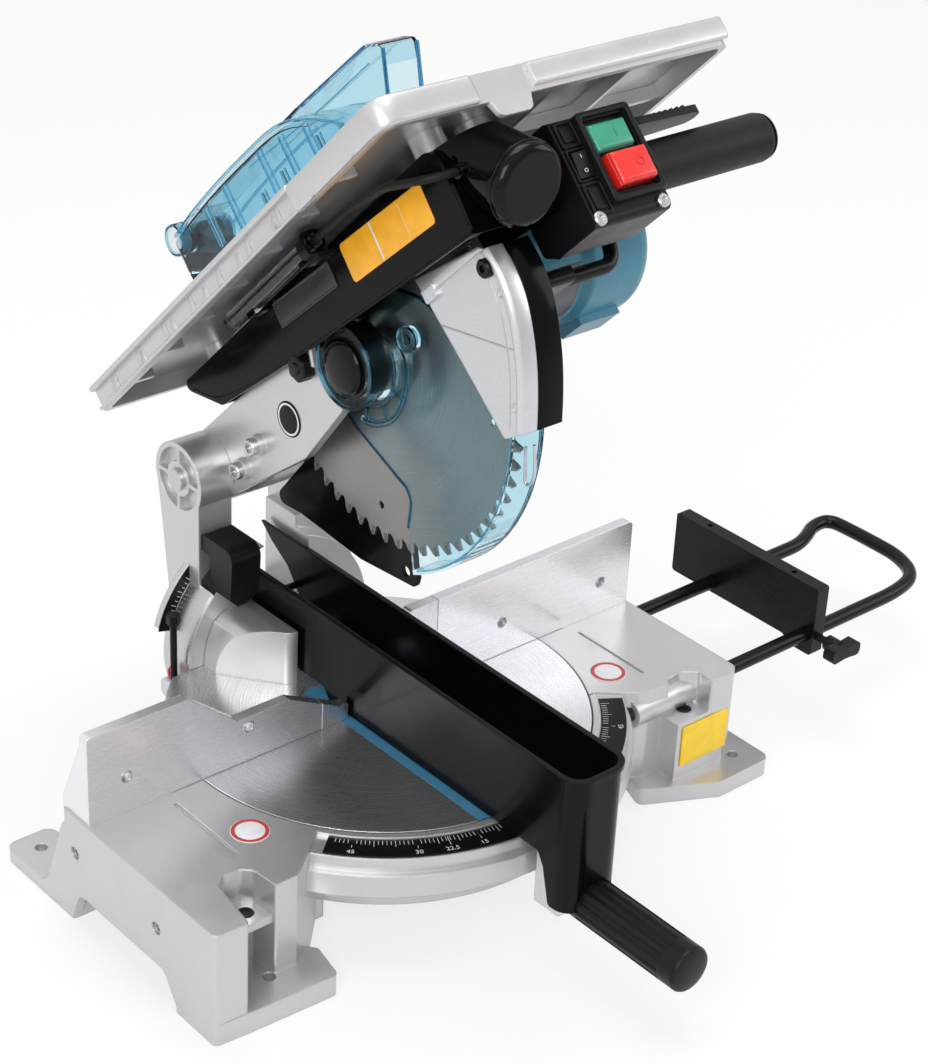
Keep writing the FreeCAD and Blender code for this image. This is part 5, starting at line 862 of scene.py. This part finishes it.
cap = turned([(6.2, 0.0), (6.2, 4.4), (5.4, 5.4), (3.4, 5.4), (3.2, 2.4)], 28)
piece("arm_screws", repeated(cap, ARM_SCREWS), "head", "steel")
rib = plate(34.0, 3.4, 1.6, 0.0, 4.0, 1.5)
piece("arm_rib", rib, "head", "painted_casting", place=on_left(ARM_FACE, -20.0, 33.0, 62.0))
print("case plates: 2, arm screws:", len(ARM_SCREWS))

# %% [markdown]
# The silver blade case is a pressed panel with a raised rim along its outer curve, a step line
# across it and two small round bosses. The solids have that curve as short straight runs. Here a
# cubic through the same points makes it smooth, and bands carried along it cover the runs.

# %% Blade case
CASE_CURVE = [(164, 8), (165.5, -8), (162.5, -27), (154.5, -46), (143, -65), (129.5, -82), (117.5, -95)]
PANEL_FACE = -20.0
UPPER_PANEL = np.array([(92.0, 9.2), (122.5, 8.8), (157.4, 8.8), (163.0, 7.6), (157.7, 12.1), (143.9, 14.2),
                        (111.0, 19.3), (90.0, 22.5)])
BOSSES = (on_left(PANEL_FACE + 1.0, 158.4, -19.0), on_left(PANEL_FACE + 1.0, 124.0, -80.0))


def through(points, steps=8):
    """A smooth path through points: cubics whose slopes are half of the span of each point's neighbours."""
    path = np.asarray(points, float)
    ends = np.concatenate((2 * path[:1] - path[1:2], path, 2 * path[-1:] - path[-2:-1]))
    share = np.linspace(0.0, 1.0, steps, endpoint=False)[None, :, None]
    before, start, stop, after = (ends[n:len(ends) - 3 + n, None] for n in range(4))
    slope_in = (stop - before) / 2
    slope_out = (after - start) / 2
    curve = ((2 * share ** 3 - 3 * share ** 2 + 1) * start + (share ** 3 - 2 * share ** 2 + share) * slope_in
             + (3 * share ** 2 - 2 * share ** 3) * stop + (share ** 3 - share ** 2) * slope_out)
    return np.concatenate((curve.reshape(-1, path.shape[1]), path[-1:]))


def bar(points, width, height, corner, upward=UP):
    """A rounded rectangle carried along a path; its height stays along upward."""
    path = np.asarray(points, float)
    upward = np.asarray(upward, float)
    along = np.gradient(path, axis=0)
    along /= np.linalg.norm(along, axis=1, keepdims=True)
    other = np.cross(along, upward)
    outline = rounded(width, height, corner, 4)
    return stacked(path[:, None] - outline[None, :, 0:1] * other[:, None] + outline[None, :, 1:2] * upward)


curve = through(CASE_CURVE)
SILVER_PARTS = {
    "blade_case_rim": side_bead(curve * 0.985, PANEL_FACE + 1.6, 3.2, 16),
    "blade_case_band": bar(side_path(curve, -14.0), 2.2, 12.2, 0.9, LEFT),
    "blade_case_inner_line": side_bead(curve * 0.93, PANEL_FACE + 0.1, 0.5),
    "blade_case_lines": joined(
        side_bead([(94.5, 8.6), (158.0, 8.4)], PANEL_FACE, 0.8),
        side_bead([(94.3, -11.4), (145.9, -51.0)], PANEL_FACE, 0.7),
    ),
    "blade_case_bosses": repeated(hoop(3.4, 2.2, -1.0, 1.6, 0.4), BOSSES),
    "upper_panel": moved(slab(UPPER_PANEL, -1.0, 0.7, 0.4), on_left(PANEL_FACE, 0.0, 0.0)),
}
for name, part in SILVER_PARTS.items():
    piece(name, part, "head", "silver_panel")
strip_band = bar(side_path(curve, 2.1), 2.4, 20.6, 1.0, LEFT)
piece("case_strip_band", strip_band, "head", "black_case", "black_plastic")
screw = turned([(6.0, -2.0), (6.0, 3.2), (5.0, 4.2), (2.4, 4.2), (2.3, 2.0)], 28)
piece("blade_case_screw", screw, "head", "black_steel", place=on_left(PANEL_FACE, 157.0, -1.5))
print("points of the case's curve:", len(curve))

# %% [markdown]
# Edges of clear plastic look deep blue, because one looks along the wall and not through it. Beads
# along the lower guard's outline give it that line. Ribs round its hub stiffen it, a bent wire helps
# to lift it, and a black dome closes the hub.

# %% Lower guard
GUARD_CENTRE = (2.0, 5.0)
GUARD_FACE = -17.6
GUARD_EDGE = [(-34, -100), (-14, -84), (-22, -66), (-30, -46), (-41, -19), (-41, 7), (-26, 32), (20, 37),
              (60, 32), (92, 4), (97, -47), (112, -78)]
GUARD_RIBS = ((31.0, -170, -12, 1.0), (40.5, -136, -24, 1.3), (43.5, -134, -26, 0.8))
SPOKES = np.radians((-128, -97, -62))
WIRE = [(98.5, -99), (87, -112.5), (82.5, -117), (85, -120.5), (94, -118), (107, -101.5)]
SIDE_BOSS_SEAT = on_left(-22.0, 58.0, -4.0)

guard_edge = softened(GUARD_EDGE)
piece("guard_edge", side_bead(guard_edge, GUARD_FACE + 0.8, 1.1), "lower_guard", "deep_blue", "guard_blue")
rim_path = arc(140.6, -110, -33, 48, GUARD_CENTRE)
rims = joined(*(side_bead(rim_path, x, 0.7) for x in (GUARD_FACE + 0.8, 6.8)))
piece("guard_rim_edges", rims, "lower_guard", "edge_blue", "guard_blue")
ribs = [side_bead(arc(radius, start, stop, 32, GUARD_CENTRE), GUARD_FACE, thick)
        for radius, start, stop, thick in GUARD_RIBS]
ribs += [side_bead(GUARD_CENTRE + np.outer((30.0, 41.0), (math.cos(angle), math.sin(angle))), GUARD_FACE, 1.1)
         for angle in SPOKES]
piece("guard_ribs", joined(*ribs), "lower_guard", "edge_blue", "guard_blue")
piece("guard_wire", side_bead(softened(WIRE), -6.0, 1.1), "lower_guard", "steel", "guard_blue")
boss_rings = joined(
    moved(hoop(28.6, 26.4, -1.0, 1.4, 0.5), on_left(-34.0, *GUARD_CENTRE)),
    moved(hoop(8.6, 6.2, -1.0, 1.2, 0.4), SIDE_BOSS_SEAT),
    moved(disc(3.2, -1.0, 1.0, 0.5), SIDE_BOSS_SEAT),
)
piece("guard_boss_rings", boss_rings, "lower_guard", "edge_blue", "guard_blue")
dome = turned([(19.0, -0.5), (19.0, 0.6), (17.5, 2.4), (14.0, 3.6), (9.0, 4.4), (4.0, 4.7), (0.1, 4.8)], 48)
piece("hub_dome", dome, "head", "gloss_black", "black_plastic", on_left(-35.2, *GUARD_CENTRE))
print("guard edge points:", len(guard_edge))

# %% [markdown]
# The upper guard is a wide clear hood with ribs inside, hung on a barrel at the back. A thin fin runs
# along its middle. The hood's lower line stays clear of the table when the table is at its highest,
# and a Solidify modifier gives its sheet a wall.

# %% Upper guard
HOOD_HALF = 26.0
HOOD_WALL = 1.6
HOOD_FOOT = 92.0
HOOD_DEPTH = 62.0
HOOD_TOP = softened([
    (-124.0, 158.0), (-96.0, 161.0), (-46.0, 162.5), (4.0, 161.0), (26.0, 160.0), (47.0, 156.0),
    (66.0, 147.5), (80.0, 139.5), (93.0, 131.0), (106.0, 118.0),
], 2)
HOOD_RIBS = ((-78.0, 157.0, 128.0), (-47.0, 158.0, 118.0), (5.0, 157.0, 112.0), (33.0, 152.0, 108.0),
             (61.0, 144.0, 104.0))
FIN_FRONT = [(150.5, 148.0), (133.0, 120.0), (118.5, 94.5)]
FIN_TOP = softened([(136.0, 157.0), (47.0, 162.5), (-20.0, 163.5)])
FIN_FOLD = softened([(133.0, 147.0), (60.0, 150.0), (-23.0, 158.0)])
BARREL = (-132.0, 158.0)
BARREL_SEATS = (on_left(-14.0, *BARREL), on_right(14.0, *BARREL))


def hood():
    """A sheet over the guard: the top line swept across, lower by 5|share|^6, with two upright sides."""
    share = np.linspace(-1.0, 1.0, 25)
    top = HOOD_TOP[:, 1:2] - 5.0 * np.abs(share)[None, :] ** 6
    x = np.broadcast_to(HOOD_HALF * share, top.shape)
    y = np.broadcast_to(-HOOD_TOP[:, 0:1], top.shape)
    sheet = np.stack((x, y, top), axis=-1)
    sides = []
    for column in (0, -1):
        edge = sheet[:, column]
        base = edge.copy()
        above_table = 133.0 - 0.4 * (132.0 - edge[:, 1])
        base[:, 2] = np.maximum(np.maximum(HOOD_FOOT, above_table), edge[:, 2] - HOOD_DEPTH)
        sides.append(np.linspace(edge, base, 8, axis=1))
    rows = np.concatenate((sides[0][:, :0:-1], sheet, sides[1][:, 1:]), axis=1)
    layers, count = rows.shape[:2]
    spots = np.arange(layers * count).reshape(layers, count)
    quads = np.stack((spots[:-1, :-1], spots[:-1, 1:], spots[1:, 1:], spots[1:, :-1]), axis=-1)
    return rows.reshape(-1, 3), quads.reshape(-1, 4).tolist()


hood_piece = piece("guard_hood", hood(), "upper_guard", "guard_blue")
wall = hood_piece.modifiers.new("wall", "SOLIDIFY")
wall.thickness = HOOD_WALL * MM
wall.offset = -1.0
arch = joined(*(side_bead(HOOD_TOP, x, 1.3) for x in (-HOOD_HALF + 0.5, HOOD_HALF - 0.5)))
piece("hood_edges", arch, "upper_guard", "edge_blue", "guard_blue")
hood_ribs = []
for forward, high, low in HOOD_RIBS:
    for x in (-HOOD_HALF + 1.5, HOOD_HALF - 1.5):
        for step, thick, wide in ((0.0, 1.6, 2.2), (5.0, 1.2, 1.0)):
            centre = (x, -forward - step, (high + low) / 2)
            hood_ribs.append(blocks(centre, RIGHT, UP, (thick, high - low, wide)))
piece("hood_ribs", joined(*hood_ribs), "upper_guard", "edge_blue", "guard_blue")
fin = [side_bead(FIN_FRONT, x, 1.3) for x in (-13.2, 13.2)]
fin += [side_bead(FIN_TOP, x, 0.7) for x in (-13.6, 13.6)]
piece("fin_edges", joined(*fin), "upper_guard", "deep_blue", "guard_blue")
piece("fin_fold", side_bead(FIN_FOLD, -14.2, 0.5), "upper_guard", "edge_blue", "guard_blue")
barrel = repeated(hoop(11.4, 9.6, 0.0, 9.0, 0.5), BARREL_SEATS)
piece("guard_barrel", barrel, "upper_guard", "edge_blue", "guard_blue")
piece("barrel_ends", repeated(disc(9.4, 0.0, 8.0, 0.6), BARREL_SEATS), "upper_guard", "pale_label")
print("hood ribs:", len(hood_ribs))

# %% [markdown]
# The blade carries a small hard metal tip on each tooth. The tips are blocks, placed by the same
# angle from tooth to tooth as the blade's own gullets, a little wider than the blade so that the
# body runs free in the cut.

# %% Blade tips
TEETH = 60
TIP_SIZE = (2.0, 6.2, 2.8)
TIPS_AT = 126.7
TIP_LEAD = 0.010


def blade_tips():
    """Tip n stands at n/60 of a turn, its long side along the radius."""
    angle = -2 * math.pi * np.arange(TEETH) / TEETH - TIP_LEAD
    outward = np.column_stack((np.zeros(TEETH), -np.cos(angle), np.sin(angle)))
    around = np.cross(outward, RIGHT)
    return blocks(outward * TIPS_AT, around, outward, TIP_SIZE)


piece("blade_tips", blade_tips(), "blade", "carbide", "blade_steel")
flange_rings = joined(hoop(20.6, 17.0, 0.0, 0.8, 0.3), hoop(14.0, 11.0, 0.0, 0.6, 0.3))
piece("flange_rings", flange_rings, "blade", "steel", place=on_left(-7.5, 0.0, 0.0))
print("tips:", TEETH)

# %% [markdown]
# The switch box has a raised frame round its two buttons and two raised panels beside the lamp
# switch. The buttons are pillows with I and O moulded on them, as switches of this kind have all
# over the world.

# %% Switch box, buttons and lamp
BOX_FRONT = 203.0
BOX_SIDE = 29.9
BOX_SCREWS = (on_front(34.5, BOX_FRONT, -5.2), on_front(86.0, BOX_FRONT, -5.2))
SCREW_PROFILE = [(4.6, 0.0), (4.6, 1.4), (3.8, 2.2), (1.9, 2.2), (1.8, 1.0)]
ROCKER_SEAT = on_front(40.0, 206.3, 29.0)
LAMP_SEAT = seat((-8.0, -211.6, 21.4), RIGHT, (0, -1, 1))
BUTTONS = (
    # name, letter, width, height, button's x, forward and up, the letter's x and forward
    ("start", "I", 29.6, 17.6, (67.0, 206.8, 41.0), (70.0, 210.15), "green_button"),
    ("stop", "O", 28.6, 20.6, (68.5, 211.8, 18.5), (73.0, 215.15), "red_button"),
)


def pillow(width, height, thick):
    """A button's top: a rounded plate whose upper edge falls away over a wide bevel."""
    rows = [level(rounded(width, height, 1.2), 0.0), level(rounded(width, height, 1.2), thick * 0.35)]
    for fall, rise in ((0.6, 0.70), (1.6, 0.92), (2.8, 1.0)):
        rows.append(level(rounded(width - 2 * fall, height - 2 * fall, 1.0), thick * rise))
    return stacked(rows)


box_frame = border(43.0, 58.0, (3.0, 2.0), 7.5, 0.0, 7.0, 1.2)
piece("button_frame", box_frame, "head", "black_plastic", place=on_front(68.0, BOX_FRONT, 29.5))
for name, letter, width, height, spot, (mark_x, mark_forward), finish in BUTTONS:
    piece(f"{name}_pillow", pillow(width, height, 3.2), f"{name}_button", finish, place=on_front(*spot))
    mark_seat = on_front(mark_x, mark_forward, spot[2])
    piece(f"{name}_mark", lettering(letter, 8.0, 0.5), f"{name}_button", finish, place=mark_seat)
panels = []
for up, tall in ((49.0, 17.0), (7.0, 21.0)):
    panel_seat = on_front(39.5, BOX_FRONT, up)
    panels.append(moved(border(15.0, tall, (1.5, 1.0), 3.5, 0.0, 1.8, 0.5), panel_seat))
    panels.append(moved(plate(8.0, tall - 7.0, 1.0, 0.0, 1.4, 0.5), panel_seat))
panels.append(moved(border(15.5, 21.5, (1.5, 0.8), 2.7, 0.0, 1.6, 0.4), on_front(40.0, BOX_FRONT, 29.0)))
piece("box_panels", joined(*panels), "head", "black_plastic")
rocker_marks = joined(
    moved(lettering("O", 3.6, 0.3), on_top(0, 4.4, -0.9)),
    moved(lettering("I", 3.6, 0.3), on_top(0, -4.4, 0.1)),
)
piece("rocker_marks", rocker_marks, "light_rocker", "white_paint", place=ROCKER_SEAT)
piece("box_screws", repeated(turned(SCREW_PROFILE, 24), BOX_SCREWS), "head", "steel")
box_seam = bead([(BOX_SIDE, -160.0, -10.1), (BOX_SIDE, -203.3, -8.0), (BOX_SIDE, -203.3, 58.0)], 0.5)
piece("box_seam", box_seam, "head", "black_plastic")
lamp_ring = hoop(26.6, 25.2, -10.5, -7.5, 0.5, 56)
piece("lamp_ring", lamp_ring, "head", "gloss_black", place=LAMP_SEAT)
print("switch box panels:", len(panels))

# %% [markdown]
# The motor's body is moulded teal plastic. It has a dark bare plate that follows its round side, air
# slots in its end, and a collar where it meets the gear case. The plate is a patch of a cylinder,
# worked out from its angle and its place along the axis.

# %% Motor
MOTOR_AXIS = (62.0, 26.0)
MOTOR_NECK = 46.0
MOTOR_END = 158.0
SLOTS_AT = 31.0
COLLAR_PROFILE = [(45.0, 0.0), (47.4, 0.0), (47.4, 3.6), (45.0, 4.2)]


def patch(radius, low, high, start, stop, thick):
    """Part of a tube: at angle a the point stands at the axis plus radius times (cos a, sin a)."""
    angle = np.radians(np.linspace(start, stop, 24))
    outward = np.stack((np.cos(angle), np.sin(angle)), axis=-1)
    outer = radius + thick
    section = ((radius, low), (outer, low + 0.3), (outer, high - 0.3), (radius, high))
    rows = [side_path(np.array(MOTOR_AXIS) + reach * outward, x) for reach, x in section]
    return stacked(np.array(rows).transpose(1, 0, 2))


def slot_seat(angle):
    """A seat on the motor's end, away from its axis by the slots' radius and turned to point outwards."""
    cosine, sine = math.cos(angle), math.sin(angle)
    spot = (MOTOR_END, -MOTOR_AXIS[0] - SLOTS_AT * cosine, MOTOR_AXIS[1] + SLOTS_AT * sine)
    return seat(spot, (0, cosine, -sine), (0, sine, cosine))


motor_plate = patch(MOTOR_NECK - 0.1, 50.0, 97.0, -88.0, -34.0, 0.5)
piece("motor_plate", motor_plate, "head", "grey_plate")
air_slot = plate(17.0, 3.2, 1.5, -0.4, 0.3, 0.1)
slot_angles = np.radians(np.arange(0, 360, 22.5))
piece("motor_slots", repeated(air_slot, map(slot_seat, slot_angles)), "head", "black_plastic")
end_cap = turned([(17.0, 0.0), (17.0, 1.2), (16.0, 2.2), (4.0, 2.6), (0.1, 2.6)], 40)
piece("motor_end_cap", end_cap, "head", "teal_housing", place=on_right(MOTOR_END, *MOTOR_AXIS))
collar = turned(COLLAR_PROFILE, 64, ring=True)
piece("motor_collar", collar, "head", "teal_housing", place=on_right(44.6, *MOTOR_AXIS))
print("air slots:", len(slot_angles))

# %% [markdown]
# The upper table is a plate with a border that hangs down all round. Along its left side the border
# is a channel with three-cornered webs in it, and towards the front it is solid with well rounded
# corners. Bars and webs add what the plain border lacks.

# %% Upper table's border
TOP_LEFT, TOP_FRONT, TOP_HIGH, TOP_DEEP = -98.0, 226.0, 90.0, 18.0
PROUD = 0.6
WEB_OUTLINE = np.array([(0.0, 0.0), (3.8, 0.0), (0.6, 13.0), (0.0, 13.0)])
WEB_PLACES = np.arange(-100.0, 180.0, 42.0)
RUN_POINTS = 12
BORDER = softened([
    (TOP_LEFT - PROUD, -120.0), (TOP_LEFT - PROUD, -TOP_FRONT + 22.0), (TOP_LEFT - PROUD, -TOP_FRONT + 6.0),
    (TOP_LEFT + 6.0, -TOP_FRONT - PROUD), (TOP_LEFT + 22.0, -TOP_FRONT - PROUD), (-30.0, -TOP_FRONT - PROUD),
])
front_border = level(BORDER, TOP_HIGH - TOP_DEEP / 2 + 0.2)
right_ends = np.array([(14.0, -TOP_FRONT - PROUD), (172.0, -TOP_FRONT - PROUD)])
right_border = np.linspace(*level(right_ends, TOP_HIGH - 7.5), RUN_POINTS)
channel_ends = np.array([(TOP_LEFT - 1.0, -122.0), (TOP_LEFT - 1.0, 184.0)])
upper_lip = np.linspace(*level(channel_ends, TOP_HIGH - 2.0), RUN_POINTS)
lower_lip = np.linspace(*level(channel_ends, TOP_HIGH - TOP_DEEP + 1.2), RUN_POINTS)
web = stacked([level(WEB_OUTLINE, -1.6), level(WEB_OUTLINE, 1.6)])
web_seats = [seat((TOP_LEFT, y, TOP_HIGH - TOP_DEEP + 2.0), LEFT, UP) for y in WEB_PLACES]
TABLE_PARTS = {
    "table_border": bar(front_border, 5.0, TOP_DEEP, 2.4),
    "table_border_right": bar(right_border, 5.0, 15.0, 2.4),
    "table_channel": joined(bar(upper_lip, 7.0, 4.0, 1.6), bar(lower_lip, 5.0, 2.4, 1.0)),
    "table_webs": repeated(web, web_seats),
}
for name, part in TABLE_PARTS.items():
    piece(name, part, "upper_table", "painted_casting")
print("webs:", len(web_seats))

# %% [markdown]
# The extension's loop is bent from one rod. The solids have it as short straight runs, which is
# enough to make it from, but a bent rod has no corners. The same path with its corners cut several
# times over is smooth, and this rod takes the place of the plain one.

# %% Extension loop
LOOP_DROP = 18.0
LOOP_RADIUS = 5.5
ROD_END = 168.0
LOOP_BENDS = [(414.0, 3.0), (431.0, 3.0), (447.0, 8.0), (464.0, 17.0), (484.0, 17.0), (485.0, -8.0),
              (485.0, -30.0), (484.0, -58.0), (470.0, -85.0), (440.0, -93.0), (404.0, -93.0)]

bends = softened(LOOP_BENDS, 4)
loop_path = level(np.concatenate((((ROD_END, 3.0),), bends, ((ROD_END, -93.0),))), -LOOP_DROP)
loop = piece("extension_loop", bead(loop_path, LOOP_RADIUS, UP, 24), "extension", "black_steel")
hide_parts("rod_loop")
print("loop points:", len(loop_path))

# %% [markdown]
# What remains is small: end caps of the two handles, and the clip and inner lead of the clear
# sleeve.

# %% Handles, sleeve and lead
HANDLE_CAP = [(15.8, -1.0), (15.8, 0.4), (15.0, 1.8), (12.0, 2.8), (6.0, 3.3), (0.1, 3.4)]
GRIP_CAP = [(15.0, -1.0), (14.6, 0.2), (12.0, 1.6), (7.0, 2.6), (0.1, 3.0)]
SLEEVE_AXIS = (-52.0, 73.0)
piece("handle_cap", turned(HANDLE_CAP), "turn_handle", "black_plastic", place=on_front(0.0, 306.0, -33.0))
piece("grip_cap", turned(GRIP_CAP), "head", "black_rubber", place=on_right(214.0, 175.0, 25.0))
lead_path = [(SLEEVE_AXIS[0], y, SLEEVE_AXIS[1]) for y in np.linspace(-66.0, 60.0, 12)]
piece("sleeve_lead", bead(lead_path, 2.6, RIGHT, 12), "head", "black_rubber")
clip_ring = rim(rounded(18.0, 17.0, 5.0), rounded(13.4, 13.4, 5.0), -4.0, 4.0, 0.8)
clip = joined(
    moved(clip_ring, on_front(SLEEVE_AXIS[0], 52.0, SLEEVE_AXIS[1])),
    blocks((-47.0, -52.0, 64.5), RIGHT, AWAY, (14.0, 8.0, 3.0)),
)
piece("sleeve_clip", clip, "head", "black_plastic")

# %% [markdown]
# The stage is a pale floor that runs off past the picture, and a plain studio: a large soft lamp on
# the left, a second one overhead and a weak one on the right. To the camera the floor and the room
# are nearly white, and the Light Path node does that without throwing more light on the machine.
# Metal needs something dark to mirror as well as something bright, so to gloss the room fades from
# white at the upper left to grey at the lower right.

# %% Floor, room and lamps
FLOOR_SIZE = 12.0
GLOSS_SHARE = 0.62
FLOOR_GREY = (0.86, 0.86, 0.86, 1.0)
FLOOR_GLOW = 0.74
WHITE = (1.0, 1.0, 1.0, 1.0)
ROOM_LIGHT = (0.97, 0.98, 1.0, 1.0)
ROOM_STRENGTH = 0.55
BRIGHT_SIDE = Vector((-0.75, 0.15, 0.65)).normalized()
FADE = {"From Min": -0.5, "From Max": 0.9, "To Min": 0.12, "To Max": 1.0}
MIDDLE = (0.0, 0.0, 0.3)
LAMPS = {
    # place, size and power
    "left_lamp": ((-2.2, -1.6, 1.9), 1.6, 46),
    "top_lamp": ((0.3, 0.2, 2.8), 1.8, 38),
    "right_lamp": ((2.4, -1.4, 1.4), 1.4, 16),
}


def maths(tree, operation, first, second):
    """A Math node over two values, the second of which may be a plain number."""
    made = tree.nodes.new("ShaderNodeMath")
    made.operation = operation
    tree.links.new(first, made.inputs[0])
    if isinstance(second, float):
        made.inputs[1].default_value = second
    else:
        tree.links.new(second, made.inputs[1])
    return made.outputs[0]


def rays_that_look(tree, path, gloss):
    """1 for rays from the camera or through glass, and gloss for rays that come off a glossy surface."""
    total = maths(tree, "MULTIPLY", path.outputs["Is Glossy Ray"], gloss)
    for ray in ("Is Camera Ray", "Is Transmission Ray"):
        total = maths(tree, "MAXIMUM", total, path.outputs[ray])
    return total


def blended(tree, share, plain, white):
    """The plain shader where share is 0 and the white one where it is 1."""
    mix = tree.nodes.new("ShaderNodeMixShader")
    tree.links.new(share, mix.inputs["Fac"])
    tree.links.new(plain, mix.inputs[1])
    tree.links.new(white, mix.inputs[2])
    return mix.outputs["Shader"]


def build_floor():
    """A flat square, pale in plain light and nearly white to the camera."""
    half = FLOOR_SIZE / 2
    mesh = bpy.data.meshes.new("floor")
    corners = [(-half, -half, 0), (half, -half, 0), (half, half, 0), (-half, half, 0)]
    mesh.from_pydata(corners, [], [(0, 1, 2, 3)])
    floor = bpy.data.objects.new("floor", mesh)
    bpy.context.scene.collection.objects.link(floor)
    material = bpy.data.materials.new("pale floor")
    material.use_nodes = True
    tree = material.node_tree
    shader = tree.nodes["Principled BSDF"]
    shader.inputs["Base Color"].default_value = FLOOR_GREY
    shader.inputs["Roughness"].default_value = 0.9
    shader.inputs["Specular IOR Level"].default_value = 0.1
    glow = tree.nodes.new("ShaderNodeEmission")
    glow.inputs["Color"].default_value = WHITE
    path = tree.nodes.new("ShaderNodeLightPath")
    share = maths(tree, "MULTIPLY", rays_that_look(tree, path, GLOSS_SHARE), FLOOR_GLOW)
    shown = blended(tree, share, shader.outputs["BSDF"], glow.outputs["Emission"])
    tree.links.new(shown, tree.nodes["Material Output"].inputs["Surface"])
    mesh.materials.append(material)


def build_room():
    """Plain soft light, and a room that the camera sees as white and gloss sees as a slow fade."""
    world = bpy.data.worlds.new("studio")
    bpy.context.scene.world = world
    world.use_nodes = True
    tree = world.node_tree
    dim = tree.nodes["Background"]
    dim.inputs["Color"].default_value = ROOM_LIGHT
    dim.inputs["Strength"].default_value = ROOM_STRENGTH
    white = tree.nodes.new("ShaderNodeBackground")
    white.inputs["Color"].default_value = WHITE
    where = tree.nodes.new("ShaderNodeTexCoord")
    fade = tree.nodes.new("ShaderNodeVectorMath")
    fade.operation = "DOT_PRODUCT"
    fade.inputs[1].default_value = BRIGHT_SIDE
    tree.links.new(where.outputs["Generated"], fade.inputs[0])
    ramp = tree.nodes.new("ShaderNodeMapRange")
    for socket, number in FADE.items():
        ramp.inputs[socket].default_value = number
    tree.links.new(fade.outputs["Value"], ramp.inputs["Value"])
    path = tree.nodes.new("ShaderNodeLightPath")
    off_gloss = maths(tree, "MULTIPLY", path.outputs["Is Glossy Ray"], ramp.outputs["Result"])
    share = maths(tree, "MAXIMUM", rays_that_look(tree, path, 0.0), off_gloss)
    shown = blended(tree, share, dim.outputs["Background"], white.outputs["Background"])
    tree.links.new(shown, tree.nodes["World Output"].inputs["Surface"])


def lamp(name, place, size, power):
    """A square soft lamp at place, turned to shine on the machine's middle."""
    light = bpy.data.lights.new(name, "AREA")
    light.size = size
    light.energy = power
    made = bpy.data.objects.new(name, light)
    made.location = place
    made.rotation_euler = (Vector(MIDDLE) - Vector(place)).to_track_quat("-Z", "Y").to_euler()
    bpy.context.scene.collection.objects.link(made)


build_floor()
build_room()
for name, settings in LAMPS.items():
    lamp(name, *settings)
bpy.context.scene.view_settings.view_transform = "Standard"
print("lamps:", len(LAMPS))
